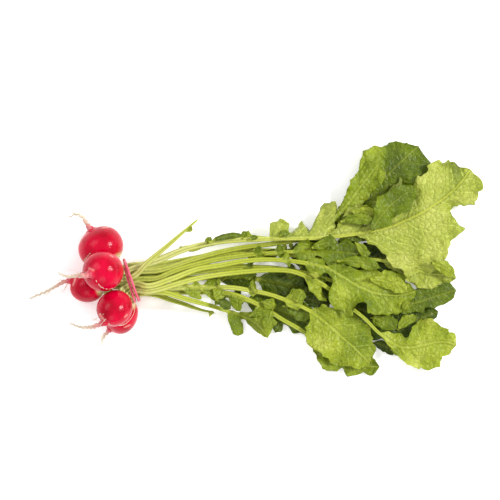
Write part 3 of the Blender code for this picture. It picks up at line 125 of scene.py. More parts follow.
# Each leaf, from the lowest in the pile to the highest: the radish it grows on, its row in
# the neck and its place across it, the height at which it would lie alone and the length of
# stalk that it needs to come down to it, the waves of its edge (height and length), and then
# its rows from neck to tip: x, y, and how far the blade reaches to the left and right of the
# midrib. Two more numbers say how far the blade runs forward for each step to the left and to
# the right. Numbers left off at the end of a row are 0, so a bare stalk has only x and y.
LEAVES = {
    "leaf_low_top": dict(
        radish="radish_top", row=0, place=7.05, lie=1.6, drop=60, wave=(1.2, 26), rows=(
            (-62, -3), (-40, 1), (-15, 5), (10, 6), (18.6, 5.8), (23.7, 5.6, 3.8, 6.4),
            (29.4, 5.1, 6.4, 11.5, 0.1, 0.1), (35.8, 4.5, 5.8, 12.2, 0.1, 0.1), (42.2, 3.8, 5.1, 11.5),
            (48.6, 3, 3.8, 9), (56, 2, 5.8, 7.7), (64, 1, 9, 9), (76, 1, 12.2, 10.9), (88, 2, 12.2, 12.2),
            (99, 3, 9, 10.2), (106.9, 3.5, 3.8, 5.1), (110.1, 3.5, 1.3, 1.3))),
    "leaf_low_right": dict(
        radish="radish_small", row=0, place=2.35, lie=1.6, drop=60, wave=(1.2, 22), rows=(
            (-62, -8), (-40, -5), (-15, -4), (10, -6), (20.5, -8.6), (25.6, -10.2, 3.8, 3.8),
            (31.4, -12.8, 7.7, 7.7), (38.4, -16, 10.2, 10.9), (44.8, -19.2, 10.2, 11.5),
            (51.2, -22.7, 6.4, 7.7), (55.7, -25.3, 3.2, 3.8), (60, -28, 3.2, 3.2),
            (64.6, -30.7, 5.8, 6.4), (70, -33, 8.3, 9.6), (76.8, -35.8, 11.5, 12.8),
            (84.5, -38.4, 11.5, 13.4), (92.2, -40, 10.9, 10.9), (98.6, -39.7, 9, 9), (105, -37.8, 8.3, 7),
            (112, -35, 5.8, 5.1), (117.1, -33.2, 1.9, 1.9))),
    "leaf_low_middle": dict(
        radish="radish_small", row=0, place=-2.35, lie=1.6, drop=60, wave=(1.2, 24), rows=(
            (-62, -13), (-45, -12), (-31.4, -11.5), (-26.9, -11.5, 5.1, 7, 0.2, 0.2),
            (-23, -11.5, 1.9, 2.6), (-19.8, -11.5, 2.6, 4.5), (-14.7, -11.6, 4.5, 6.4, 0.2, 0.2),
            (-8.3, -11.7, 5.8, 6.4), (-2.6, -11.9, 4.5, 5.1), (0.6, -12.2, 1.9, 1.9),
            (3.8, -12.8, 3.2, 3.8), (8.3, -13.8, 7.7, 9, 0.1, 0.1), (14.1, -15, 9.6, 10.9),
            (19.8, -16.6, 10.2, 10.2), (25.6, -18.2, 8.3, 8.3), (30.1, -19.8, 3.8, 3.8),
            (33.3, -21.1, 3.2, 3.2), (37.8, -22.7, 6.4, 6.4), (42.2, -24.3, 5.8, 6.4),
            (46.7, -26.2, 1.9, 1.9))),
    "leaf_low_front": dict(
        radish="radish_small", row=0, place=-7.05, lie=1.6, drop=60, wave=(1.2, 22), rows=(
            (-62, -18.5), (-40, -19), (-26.9, -21.1), (-24.3, -21.6, 2.6, 6.4, 0.2, 0.2),
            (-20.5, -22.4, 1.9, 5.1, 0.2, 0.2), (-17.3, -23), (-14.1, -23.9, 5.8, 3.8, 0.3, 0.3),
            (-10.2, -25, 2.6, 5.8, 0.3, 0.2), (-7, -25.8, 1.3, 1.3), (-3.2, -26.9, 5.1, 3.8, 0.3, 0.3),
            (1.3, -28.2, 9, 6.4, 0.3, 0.2), (5.8, -29.6, 5.1, 3.8, 0.2, 0.2), (10.9, -31.4, 8.3, 7.7),
            (17.3, -33.6, 10.2, 9), (24.3, -36.5, 10.9, 9), (31.4, -40, 9, 8.3), (37.1, -43.5, 5.8, 5.1),
            (41.6, -46.7, 1.3, 1.3))),
    "leaf_light_tip": dict(
        radish="radish_top", row=1, place=4.7, lie=3, drop=80, wave=(1.2, 18), rows=(
            (-62, -5.5), (-40, -1), (-15, 3.5), (-6.4, 3.8), (-3.8, 3.9, 2.6, 6.4, 0.3, 0.3),
            (0, 4, 3.8, 2.6, 0.3, 0.3), (2.6, 4), (10, 4), (26.9, 2.8), (30.7, 2.4, 1.9, 6.4, 0.2, 0.3),
            (35.2, 1.9, 2.6, 11.5, 0.2, 0.3), (39.7, 1.7, 2.6, 10.9, 0.2, 0.2), (43.5, 1.5, 1.3, 3.8),
            (46.7, 1.3), (51.8, 1.2), (55, 1.1, 5.8, 5.1, 0.2, 0.2), (60.2, 1, 7.7, 7, 0.2, 0.2),
            (64.6, 0.8, 2.6, 2.6), (69.1, 0.5), (78, 0), (86, -1.5, 3.8, 3.8), (95, -4, 7.7, 7.7),
            (106, -7.5, 7.7, 9.6), (113, -9, 5.8, 8), (119, -9.5, 8, 6.4), (125, -10.5, 5.1, 3.8),
            (128.6, -11.5, 1.6, 1.6))),
    "leaf_dark_tip": dict(
        radish="radish_small", row=1, place=0.0, lie=3, drop=80, wave=(0.8, 20), rows=(
            (-62, -11), (-40, -8), (-15, -5), (-10.2, -4.8), (-7, -4.8, 2.6, 5.8, 0.3, 0.4),
            (-3.2, -4.9, 3.8, 3.2, 0.3, 0.3), (-0.6, -4.9), (10, -5), (17.9, -6),
            (21.1, -6.5, 4.5, 5.8, 0.4, 0.4), (25, -7.1, 2.6, 3.8, 0.3, 0.3), (28.2, -7.7), (35.2, -9.1),
            (39, -10.1, 7, 9, 0.3, 0.4), (43.2, -11.4, 4.5, 7, 0.3, 0.3), (46.7, -12.5), (60, -17),
            (78, -25), (88, -28, 3.8, 3.8), (97, -28.5, 7, 5.1), (106, -26.5, 7, 6.4),
            (115, -23.5, 6.4, 6.4), (122.9, -21, 5.8, 5.1), (128.5, -19.5, 2.6, 3.2))),
    "leaf_front_end": dict(
        radish="radish_lower", row=1, place=-4.7, lie=2.5, drop=75, wave=(1.2, 18), rows=(
            (-62, -19.5), (-40, -20.5), (-25, -20.5), (-17.9, -21.4), (-16, -21.8, 0.6, 5.1, 0, 0.2),
            (-12.8, -22.6, 1.3, 8.3, 0.1, 0.3), (-9.6, -23.7, 1.3, 7.7, 0.1, 0.3), (-7, -24.8, 0, 2.6),
            (-2, -26.9), (1.3, -28.8, 3.2, 0.6, 0.3), (4.5, -30.7, 6.4, 1.9, 0.4, 0.2),
            (7.7, -32.5, 5.8, 1.9, 0.4, 0.2), (10.6, -34.2, 1.3, 0.6), (15, -37), (27.3, -44),
            (34.6, -48.5), (40.3, -53.8, 5.1, 5.8), (46.1, -58.2, 7, 10.2, 0, 0.3),
            (51.8, -61.8, 7, 10.6, 0, 0.3), (56.3, -64, 6.4, 5.1, 0, 0.3),
            (60.8, -65.9, 7.7, 7.7, 0, 0.3), (65.3, -67.2, 8.3, 6.7, 0, 0.2), (70.4, -68.2, 6.4, 5.1),
            (75.5, -68.5, 5.8, 4.5), (79.4, -68.5, 1.9, 1.9))),
    "leaf_thin": dict(
        radish="radish_lower", row=1, place=-9.4, lie=2, drop=52, wave=(0, 20), rows=(
            (-65, -22), (-54.4, -25.6), (-46.2, -28.2), (-38, -31.2), (-31, -33), (-29, -33.3, 1, 3.2),
            (-26.8, -33.9, 1.5, 1.5))),
    "leaf_top": dict(
        radish="radish_upper", row=2, place=4.7, lie=5, drop=95, wave=(2.0, 30), rows=(
            (-62.7, -6.8), (-41.6, -0.2), (-25.6, 4.4), (-9.6, 7.8), (8, 10), (26, 13), (42, 20),
            (51, 26, 2.6, 2.6), (58, 31, 5.8, 5.8), (66.6, 38.4, 9.6, 11.5), (76.2, 46.7, 14.7, 17.3),
            (84.5, 54.4, 19.8, 19.8, 0.1), (92.2, 62.1, 16.6, 20.5, 0.1), (98.6, 68, 8.3, 19.8),
            (101.8, 70.9, 3.8, 15.4), (104.3, 73.1, 1.3, 9))),
    "leaf_spoon": dict(
        radish="radish_top", row=1, place=9.4, lie=5, drop=95, wave=(1.0, 24), rows=(
            (-72, -2.8), (-61, 1), (-51, 5), (-47.4, 6.4, 3.5, 1), (-44, 7.6), (-42.2, 7), (-33.9, 9.4),
            (-31.4, 10, 3.8, 0.6, 0.1), (-28.8, 10.5, 2.6, 0.6, 0.1), (-25.6, 11.3, 0.6, 0.6),
            (-12.2, 13.6, 1.3, 0.6), (-7.7, 14.2, 2.6, 0.6, 0.2), (-5.8, 14.4, 5.1, 0.6, 0.1),
            (-3.2, 14.5, 2.6, 0.6), (0, 14.3, 0.6, 0.6), (3.8, 13.9), (21.8, 14), (35.8, 16),
            (44.2, 21.1), (50.6, 27.2, 1.9, 2.6), (57, 33.6, 3.2, 3.8), (62.7, 41, 5.4, 6.4),
            (67.8, 48, 7.4, 8.3), (72, 53.1, 8.3, 9), (74.9, 57, 7.7, 8.3), (77.4, 60.2, 4.8, 6.1),
            (78.7, 61.8, 1.9, 2.6))),
    "leaf_lobed": dict(
        radish="radish_upper", row=2, place=0.0, lie=5, drop=95, wave=(1.2, 16), rows=(
            (-62.7, -11.6), (-54.4, -8), (-34.8, -1.9), (-21.8, 0.8), (-8, 2.8), (-2.6, 3.5),
            (0.6, 3.7, 5.8, 3.2, 0.3, 0.3), (3.8, 4, 2.6, 5.1, 0.3, 0.3), (6.4, 4.2), (11.5, 4.5),
            (14.1, 4.7, 5.8, 3.8, 0.3, 0.3), (17.3, 4.9, 3.2, 6.4, 0.3, 0.2), (19.8, 5.1),
            (23.7, 5.2, 1.9, 1.9), (27.5, 5.6, 6.4, 7.7, 0.4, 0.3), (32, 5.8, 7.7, 11.5, 0.3, 0.2),
            (36.5, 5.8, 5.1, 9, 0.3, 0.2), (39.7, 5.6, 2.6, 3.2), (43.5, 5.5, 7.7, 10.2, 0.3, 0.3),
            (48, 5.2, 8.3, 12.8, 0.3, 0.3), (51.8, 5.1, 3.8, 7.7), (55.7, 4.8, 6.4, 11.5),
            (60.8, 4.4, 7.7, 12.8), (65.9, 4, 5.8, 10.2), (69.8, 3.7, 1.9, 3.2))),
    "leaf_front": dict(
        radish="radish_front", row=2, place=-4.7, lie=5, drop=90, wave=(1.8, 22), rows=(
            (-62, -18.2), (-51.2, -17.8), (-46.1, -17.5, 4.5, 3.2, 0.3, 0.3),
            (-42.2, -17.3, 1.9, 6.4, 0.3, 0.3), (-38.4, -17.4, 5.1, 7.7, 0.3, 0.3),
            (-34.6, -17.5, 1.9, 3.2), (-30.7, -17.5, 4.5, 7.7, 0.3, 0.3),
            (-26.9, -17.5, 5.1, 7.7, 0.2, 0.2), (-23.7, -17.5, 1.3, 1.9), (-21.1, -17.5), (-13.4, -17.9),
            (-6.4, -19), (-3.2, -19.6, 5.8, 3.8, 0.3, 0.3), (0, -20.2, 2.6, 2.6, 0.3, 0.3), (2.6, -20.7),
            (9.6, -22.4), (17.3, -25), (20.5, -26.2, 7.7, 3.2, 0.3, 0.3),
            (24.3, -27.7, 9.6, 3.8, 0.3, 0.3), (27.5, -29.1, 5.1, 3.2, 0.3, 0.3), (30.1, -30.3),
            (32.6, -31.6), (36.5, -33.8, 3.8, 4.5), (40.3, -36.7, 9, 12.2),
            (44.8, -40.3, 13.4, 16.6, 0.1, 0.1), (49.9, -44.8, 16, 17.9, 0.1, 0.1),
            (55, -49.3, 17.3, 17.9, 0.2, 0.1), (60.2, -53.8, 16, 16.6, 0.2, 0.1),
            (65.3, -58.6, 12.8, 13.4, 0.2, 0.1), (69.8, -63, 8.3, 9.6), (73.6, -66.9, 3.2, 3.8))),
    "leaf_pointed": dict(
        radish="radish_front", row=2, place=-9.4, lie=3, drop=70, wave=(0.8, 18), rows=(
            (-60, -20.5), (-46, -24.5), (-36.5, -27.2), (-25.8, -30.3), (-19.2, -32.5, 0.6, 0.6),
            (-17, -33.3, 1.3, 3.2, 0, 0.1), (-16, -33.7, 1.9, 9, 0, 0.2),
            (-14.9, -33.9, 1.9, 12.8, 0, 0.27), (-13.2, -34.5, 1.9, 13.4, 0, 0.4),
            (-11.5, -35.1, 1.9, 11.2, 0, 0.6), (-10.2, -35.5, 2.6, 7, 0, 0.65),
            (-9, -35.9, 3.2, 2.6, 0, 0.5), (-6.4, -37, 6.4, 1.9, 0.2, 0.2),
            (-2.6, -38.9, 10.2, 3.2, 0.3, 0.1), (1.3, -41.9, 11.5, 3.8, 0.3), (5.1, -46.1, 9, 2.6),
            (7.7, -49.9, 1.9, 1.3))),
    "leaf_front_right": dict(
        radish="radish_front", row=3, place=-7.05, lie=7, drop=110, wave=(1.8, 24), rows=(
            (-70, -19.9), (-62.7, -18.8), (-54.4, -16.3), (-38, -11.8), (-21.8, -9), (-5.4, -7.3),
            (10.9, -6.4), (23, -7.3), (30.4, -9.7), (31.7, -10.2, 0.6, 2.6, 0, 0.6),
            (33, -10.7, 0.6, 7.7, 0, 0.8), (34.6, -11.3, 1.3, 11.5, 0, 0.95),
            (37.1, -12.5, 1.3, 11.5, 0, 1.1), (39.7, -13.8, 1.3, 8, 0, 1.25),
            (41.6, -14.9, 0.6, 5.1, 0, 1.2), (43.2, -16, 0, 1.9, 0, 1.1), (45.4, -17.5), (49.3, -19.8),
            (60, -30), (69.1, -37.1), (73.6, -41.6), (78, -46.1, 0.6, 0.6), (83, -49.9, 4.5, 1.9),
            (88, -53.4, 6.4, 3.2), (92.8, -55.7, 7, 5.8), (96.6, -56.3, 8.3, 10.9, 0.1, 0.1),
            (101.1, -56, 11.5, 14.7, 0.2, 0.2), (105.6, -55, 15.4, 16, 0.1, 0.1),
            (110.1, -53.8, 16.6, 15.7, 0.1, 0.1), (114.6, -52.8, 15.4, 14.1, 0.1, 0.1),
            (118.4, -52.5, 10.9, 9.6), (122.2, -52.8, 7, 7), (126.1, -53.8, 5.1, 5.8),
            (128.6, -54.7, 1.9, 2.6))),
    "leaf_middle": dict(
        radish="radish_front", row=3, place=-2.35, lie=7, drop=110, wave=(1.8, 24), rows=(
            (-70, -16.4), (-54.4, -12.2), (-38, -6), (-21.8, -3.2), (-9.6, -0.9), (2.6, 0.2), (15.4, 0),
            (17.9, -0.2, 5.1, 1.9, 0.3, 0.3), (21.1, -0.5, 2.6, 3.8, 0.3, 0.3), (23.7, -0.8),
            (30.7, -1.8), (33.3, -2.2, 3.2, 5.8, 0.3, 0.3), (37.1, -3, 5.1, 8.3, 0.2, 0.2),
            (41, -3.8, 4.5, 9, 0.2, 0.2), (44.2, -4.8, 1.9, 5.8), (46.7, -5.8, 2.6, 3.2),
            (49.3, -7, 5.8, 7.7, 0, 0.3), (53.1, -9.3, 7, 18.6, 0, 0.37), (57, -11.5, 7.7, 21.4, 0, 0.6),
            (61.1, -14.1, 7.7, 18.6, 0, 0.7), (64, -15.9, 9, 9.3, 0, 0.77),
            (66.6, -17.3, 10.9, 9.6, 0, 0.76), (70.4, -19, 13.4, 12.8, 0, 0.75),
            (74.2, -20.5, 16, 13.1, 0, 0.6), (78.7, -21.6, 16.6, 12.5, 0, 0.5),
            (84.5, -22.4, 16, 11.8, 0, 0.5), (90.2, -22.7, 14.7, 7.7, 0, 0.45), (95, -22.4, 11.5, 5.1),
            (99.5, -21.1, 7, 3.8), (103, -19.5, 1.9, 1.9))),
    "leaf_big": dict(
        radish="radish_upper", row=3, place=7.05, lie=8, drop=115, wave=(2.2, 34), rows=(
            (-62.7, -0.6), (-46, 6.6), (-30, 10.6), (-13.4, 12.6), (0, 13.2), (8, 13.5), (9.2, 13.5, 5.1),
            (10, 13.5, 9), (11.6, 13.5, 12.2, 0.6), (14.3, 13.5, 14.1, 0.6), (17.3, 13.6, 12.5, 0.6),
            (19.5, 13.6, 8.3, 0.6), (20.7, 13.6, 5.1), (21.8, 13.6, 3.8), (23.4, 13.7, 4.5, 0, 0.1),
            (25.3, 13.8, 7.7, 0.6, 0.1), (27.5, 13.8, 11.8, 1.3, 0.1), (29.8, 13.9, 12.8, 1.3, 0.1),
            (31.4, 14, 9.6, 1.3, 0.1), (32.4, 14, 5.1, 1.3, 0.3), (33.3, 14, 5.8, 1.3, 0.45),
            (34, 14, 15.4, 1.3, 0.5), (35.5, 14.1, 21.8, 1.3, 0.45), (38.4, 14.1, 22.4, 1.9, 0.5),
            (41.6, 14.3, 21.8, 1.9, 0.55), (44.2, 14.5, 18.6, 1.9, 0.57), (45.4, 14.6, 9.6, 1.3, 0.57),
            (46.5, 14.7, 5.1, 1.3, 0.6), (47.7, 14.7, 5.8, 1.3, 0.65), (48.8, 14.8, 11.5, 1.3, 0.7),
            (50.6, 15, 16.6, 1.3, 0.7), (53.8, 15.4, 18.6, 1.3, 0.8), (57.6, 15.9, 17.9, 1.3, 0.9),
            (60.8, 16.3, 14.7, 1.3, 0.95), (63.4, 16.7, 7.7, 1.3, 1), (65.3, 17, 5.1, 2.6, 1),
            (66.9, 17.2, 6.4, 3.2, 1, 0.05), (68.2, 17.3, 17.3, 3.2, 1, 0.1),
            (69.8, 17.6, 27.5, 4.5, 0.97, 0.1), (72.3, 18, 30.7, 7.7, 0.94, 0.15),
            (75.5, 18.7, 28.2, 14.1, 0.91, 0.15), (78.7, 19.4, 22.4, 21.1, 0.88, 0.13),
            (81.9, 20.1, 16, 26.9, 0.84, 0.1), (85.1, 21.1, 10.2, 31.4, 0.8, 0.05),
            (88.3, 22.2, 6.4, 35.2, 0.7), (92.8, 24.1, 9, 36.5, 0.6, 0.05),
            (96.6, 25.8, 13.4, 35.8, 0.5, 0.1), (101.1, 27.8, 17.3, 34.6, 0.42, 0.15),
            (105.6, 30.1, 19.2, 28.8, 0.36, 0.15), (110.1, 32.6, 19.8, 25, 0.32, 0.25),
            (113.3, 34.8, 20.5, 23.7, 0.3, 0.4), (115.5, 36.2, 21.1, 15.4, 0.3, 0.38),
            (117.1, 37.2, 21.8, 8.3, 0.3, 0.3), (119.7, 39.2, 22.7, 9, 0.3, 0.3),
            (123.5, 42.2, 21.8, 11.5, 0.3, 0.3), (127.7, 46, 18.9, 14.4, 0.3, 0.3),
            (131.2, 49.9, 14.4, 14.1, 0.3, 0.3), (134.1, 53.4, 9.6, 11.2, 0.3, 0.3),
            (136.3, 56.3, 5.1, 7), (137.6, 57.9, 1.9, 2.6))),
    "broken_stalk": dict(
        radish="radish_upper", row=3, place=2.35, lie=36, drop=64, wave=(0, 20), rows=(
            (-70, -2.6), (-55, 10.2), (-46.5, 17.5), (-43, 20.5, 0, 3.8), (-40.5, 22.7), (-36.4, 26.2))),
}
WIDE_LEAVES = ("leaf_big", "leaf_top", "leaf_middle", "leaf_front", "leaf_front_right", "leaf_spoon")
STALK_RAISED = {"broken_stalk": 1.6}    # it lies on its neighbours, higher than its row

# The CAD model is centred on its own box, which moves the plan by this much
MOVED = np.array([0.468, -0.740, 0.0])

# Fine form of the leaves
BLADE_ROW = 0.85                # spacing of the fine mesh rows along a blade
STALK_ROW = 2.2                 # and along a bare stalk
SECTION = 14                    # fine mesh columns on each side of the midrib
WIDE_SECTION = 30               # and on the widest leaves
RIB_SHARE = 0.16                # share of the columns that the midrib takes
SKIN = 0.22                     # half the thickness of a blade
MARGIN_SKIN = 0.12              # half its thickness at the margin
VEIN_SPACING = 9.0              # between side veins, along the midrib
VEIN_LEAN = 0.80                # how far a side vein runs forward for each step outward
VEIN_BOW = 0.008                # how it bows towards the tip
PUCKER = 0.55                   # how far the blade swells between its veins
CRINKLE = 0.20                  # the small bumps on it
TEETH = ((2.3, 0.42), (4.6, 0.75), (10.0, 1.1))     # size and depth of the margin's swings
FRILL = 0.8                     # small waves of the margin, up and down
ROLL = 1.5                      # slow waves of the whole blade
TEETH_ROOM = 6.0                # a blade this wide has its teeth in full
TIP_LENGTH = 2.2                # over which a leaf closes to its tip
VEIN_WANDER = 1.3               # how far a side vein strays
VEIN_RELIEF = 0.34              # and how far it stands out
CREST = 0.10                    # how far the midrib stands out on the upper side, in radii
KEEL = 0.80                     # and on the underside
GROOVE = 0.30                   # depth of the groove along a stalk, in radii
RIDGE = 0.05                    # height of the ridges beside it
FOOT_SWELL = 0.30               # how much thicker a stalk is where it clasps its crown
FOOT_LENGTH = 5.0               # over which it thins
CLEARANCE = 0.05                # least height over the surface
LEAFLET_STALK = 0.33            # thickness of a leaflet's stalk, as a share of a leaf's
LEAFLET_DROOP = 0.45            # how far a leaflet sinks, for each millimetre that it runs
LEAFLET_SEAT = 0.5              # height of its start over what carries it
LEAFLET_BEND = 0.08             # how far it bends aside, as a share of its length
# Its rows: the share of its length and the share of its width
LEAFLET_ROWS = ((0.10, 0.30), (0.28, 0.72), (0.5, 0.98), (0.7, 1.0), (0.88, 0.70), (1.0, 0.22))

# How light each leaf is, from 0 (deep green) to 1 (pale), and which show their underside
# The low leaves' dark tones are painted shade from the leaves piled over them; the rest is each leaf's own
# colour.
TONES_AND_SHADE = {
    "leaf_low_top": 0.16, "leaf_low_right": 0.20, "leaf_low_middle": 0.26,
    "leaf_low_front": 0.36, "leaf_light_tip": 0.74, "leaf_dark_tip": 0.34,
    "leaf_front_end": 0.58, "leaf_thin": 0.8, "leaf_top": 0.46, "leaf_spoon": 0.56,
    "leaf_lobed": 0.46, "leaf_front": 0.66, "leaf_pointed": 0.56, "leaf_front_right": 0.74,
    "leaf_middle": 0.56, "leaf_big": 0.80, "broken_stalk": 0.85,
}
UNDERSIDE_UP = ("leaf_big", "leaf_light_tip")
# How clearly the pale midrib and side veins show; on the others they lie in dark folds
RIB_SHOWN = {"leaf_big": 0.8, "leaf_front": 0.5, "leaf_middle": 0.5, "leaf_front_right": 0.45,
             "leaf_light_tip": 0.7, "leaf_front_end": 0.6, "leaf_thin": 0.8}
RIB_ELSEWHERE = 0.28
VEIN_SHOWN = {"leaf_big": 0.95, "leaf_front": 0.30, "leaf_middle": 0.30, "leaf_front_right": 0.26}
VEIN_ELSEWHERE = 0.12
# Where a stalk starts and ends on the run of colours from its cream foot, 0, to its green tip, 1
STALK_RUN = (0.0, 1.0)
LEAFLET_RUN = (0.6, 1.0)
PALENESS = {"broken_stalk": (0.02, 0.22), "leaf_big": (0.0, 0.36), "leaf_front": (0.0, 0.5)}
# Places where a leaf is lighter or darker, partly its own tone and partly painted light and painted shade
# where its folds and neighbours light or shade it: x, y, reach along x and y, and the change
LIGHT_AND_SHADE_PATCHES = {
    "leaf_top": ((98, 58, 14, 22, -0.14), (74, 66, 10, 12, 0.16)),
    "leaf_big": ((129, 58, 5, 9, -0.34), (92, 38, 12, 12, -0.26), (92, 53, 9, 8, -0.36),
                 (62, 28, 12, 8, -0.20), (34, 30, 6, 14, -0.14), (84, 8, 8, 8, -0.10)),
    "leaf_middle": ((84, -14, 16, 8, 0.16), (94, -10, 14, 5, -0.16), (56, -26, 8, 10, 0.06)),
    "leaf_front": ((44, -54, 12, 12, 0.10), (64, -50, 9, 14, -0.14), (-44, -18, 20, 8, -0.05)),
    "leaf_front_right": ((108, -66, 16, 8, 0.06), (104, -46, 16, 6, -0.08)),
    "leaf_lobed": ((34, 6, 12, 8, 0.06), (58, 6, 10, 8, -0.10)),
}

# The small side lobes that fill the middle of the bunch, too small for the CAD model. Each one:
# 0 under the stalks or 1 over them, where it starts and ends, its width, how far its tip curls
# up, and its tone.
# The dark tones of the lobes that lie low under the stalks are painted shade: dark sheets that fill the
# shaded gaps between the stalks.
LEAFLETS = (
    (1, -30.5, 10.4, -28.4, 14.6, 4.4, 0.6, 0.42), (1, -8.6, 13.6, -6, 18.2, 4.2, 0.8, 0.46),
    (1, -4.5, 12.8, 1.4, 14.6, 3.6, 0.5, 0.4), (1, 14.6, 15.2, 22, 17, 4.4, 1.2, 0.48),
    (0, 18, 11.6, 17.4, 5.4, 3.6, 0.4, 0.74), (0, 21.8, 11.4, 22.6, 7.2, 3.4, 0.4, 0.72),
    (0, -2, 1.8, 1, 7.8, 5.4, 0.2, 0.18), (0, 16.2, 6.4, 4, 2.6, 6.2, 0.2, 0.2),
    (1, 35, 7.2, 52.6, 11.2, 7.6, 1.5, 0.44), (0, 50.6, 6.2, 67, 5.6, 11.2, 1.2, 0.4),
    (1, 63.6, 11.2, 71.2, 1.2, 6.4, 0.8, 0.6), (1, 50.4, -1, 79.6, -5.2, 7.6, 0.8, 0.5),
    (0, 33.8, 0.2, 48.2, -9.2, 9.6, 1.6, 0.4), (0, -21.8, -12.8, 0.8, -9.4, 5.8, 0.5, 0.5),
    (1, -21.8, -18, -27.4, -24.4, 8.2, 0.6, 0.6), (1, -23.4, -16.6, -23.8, -11.4, 3.4, 0.8, 0.62),
    (0, -14.2, -21.8, -10.6, -30.8, 7.6, 0.8, 0.46), (1, -25.6, -25.4, -16.2, -31.4, 6.2, 0.3, 0.26),
    (1, 0.2, -21, -2, -12.2, 3.4, 1.2, 0.62), (1, 3.8, -26.8, 11.2, -31, 7.4, 0.9, 0.56),
    (1, 26, -27.6, 30.4, -19.4, 9.6, 1.6, 0.62), (1, -4, -35.8, 4.6, -33.4, 5.4, 0.4, 0.54),
    (1, 9.8, -33.2, 5, -43.4, 5.4, 0.6, 0.58), (0, 14.8, -37, 12.2, -46.8, 5.4, 0.4, 0.26),
    (0, 17.2, -29.6, 35.8, -37.4, 10.6, 0.6, 0.44), (1, 34, -9, 40.6, -10.8, 3.4, 0.9, 0.72),
    (0, 26, -1.2, 34.2, 8.8, 7.8, 0.4, 0.42), (0, 27.6, -1.6, 34.2, -6.6, 6, 0.8, 0.44),
    (1, 71.8, -12.2, 97.2, -20.6, 9.2, 2.2, 0.74), (0, 73.6, -37.2, 90.4, -44.4, 10.4, 0.9, 0.46),
    (1, 90.8, -45, 103.8, -36.2, 7.4, 0.9, 0.54), (1, 94.8, -33.8, 99.2, -26.2, 6.4, 0.8, 0.62),
    (0, 74.4, -53.2, 90.8, -60.2, 8.4, 0.3, 0.2), (1, 86.8, -57.2, 91.6, -61.4, 4, 0.8, 0.62),
    (0, 103.2, -13.6, 113.6, -15.4, 6, 0.4, 0.26), (1, 112, -1.8, 127.4, -10.6, 7, 0.8, 0.72),
    (1, 60.6, 31, 76.8, 27.8, 8.4, 1, 0.66), (1, 53, 24.2, 76, 24.8, 6.4, 0.6, 0.44),
    (1, 73, 17.2, 102.6, 46.6, 16.4, 0.5, 0.42), (0, 50.6, 10.2, 76, 15.6, 8.0, 0.3, 0.26),
    (0, 28, -4, 40, -16, 8.0, 0.3, 0.3), (0, 25, 11.6, 50, 10.6, 6.4, 0.3, 0.22),
    (0, 48, 17.6, 58, 26, 6.4, 0.3, 0.26), (1, -31, 10.8, -8, 15.6, 3.8, 0.2, 0.32),
    (0, 29, -25, 47, -30.4, 9, 0.3, 0.18),
)

# Fine form of the radishes
SKIN_SIDES = 96
SKIN_RINGS = 64
TAIL_RINGS = 90
ROOT_WIGGLE = 0.30              # how far the taproot wanders from its run
ROOT_SLIM = 0.80                # its thickness, as a share of the CAD one
# Rings that round the crown off: where along the bulb, radius as a share, and height
CROWN_CAP = ((-0.99, 0.02, 0.62), (-0.97, 0.40, 0.55), (-0.94, 0.70, 0.36), (-0.90, 0.90, 0.15))
# Pale scars on the skin: segments in x and y, with their half width, on the upper side
SCARS = {
    "radish_top": ((-113.3, 10.2, -108.8, 18.6, 0.55), (-98.0, 20.5, -94.0, 21.0, 0.4)),
    "radish_upper": ((-105.2, -5.2, -102.6, -6.4, 0.7), (-92.0, 3.0, -90.5, 2.0, 0.4)),
    "radish_small": ((-117.0, -16.0, -115.5, -12.0, 0.5),),
    "radish_front": ((-98.8, -34.6, -96.2, -38.0, 0.8), (-83.0, -36.0, -81.5, -34.5, 0.4)),
    "radish_lower": ((-84.0, -43.0, -80.5, -41.5, 0.4),),
}
# Thin side roots: the points that each runs through, and its radius at either end. A height of
# None is read from the skin under it.
SIDE_ROOT_RINGS = 40
SIDE_ROOT_SIDES = 10
SIDE_ROOT_PALENESS = 0.75       # as on the taproot, from 0 at its start to 1 at its tip
SIDE_ROOTS = {
    "radish_top": (
        (((-114.2, 29.2, 11.4), (-117.0, 30.3, 10.6), (-119.6, 31.0, 10.0)), 0.55, 0.18),
        (((-110.2, 25.6, 13.4), (-107.6, 25.4, 14.6), (-104.6, 24.2, 14.8)), 0.26, 0.10),
        (((-109.6, 24.6, 13.6), (-106.5, 23.0, 16.0), (-103.0, 22.4, 16.4)), 0.24, 0.10),
    ),
    "radish_upper": (
        (((-109.4, -1.3, None), (-107.0, 2.0, None), (-104.9, 4.4, None)), 0.24, 0.12),
        (((-101.1, -12.8, None), (-97.3, -17.3, None), (-91.0, -17.9, None), (-86.4, -14.7, None)),
         0.22, 0.10),
        (((-110.6, -9.2, 49.0), (-114.6, -6.6, 46.0), (-119.0, -5.8, 42.0)), 0.22, 0.08),
    ),
    "radish_small": (
        (((-120.6, -14.6, 7.8), (-122.8, -18.6, 7.0), (-124.2, -20.8, 6.4)), 0.36, 0.12),
        (((-121.4, -13.4, 8.0), (-125.0, -12.8, 7.6), (-128.0, -13.4, 7.2)), 0.34, 0.10),
        (((-131.4, -18.4, 4.4), (-133.6, -21.4, 3.6), (-135.7, -22.4, 3.2)), 0.28, 0.08),
    ),
    "radish_front": (
        (((-77.6, -26.8, None), (-77.2, -32.4, None), (-83.2, -40.6, None), (-93.8, -40.3, None)),
         0.12, 0.26),
        (((-98.4, -33.8, None), (-101.0, -37.0, None), (-103.4, -38.4, 36.6)), 0.20, 0.10),
        (((-96.6, -34.0, None), (-99.8, -38.4, None), (-104.8, -36.8, 36.8)), 0.18, 0.08),
        (((-95.0, -37.2, None), (-98.0, -40.4, None), (-100.8, -44.6, 35.2)), 0.20, 0.08),
    ),
    "radish_lower": (
        (((-96.6, -48.0, 5.4), (-99.4, -49.4, 4.8), (-101.4, -51.8, 4.2)), 0.24, 0.08),
    ),
}

# Fine form of the rubber band
BAND_STEPS = 144                # steps of a turn
BAND_ROW = 0.4                  # spacing of the mesh rows
BAND_SIDES = 16
STRAND_WIDE = 1.20              # half its width and height, as shares of the CAD radius
STRAND_TALL = 0.9

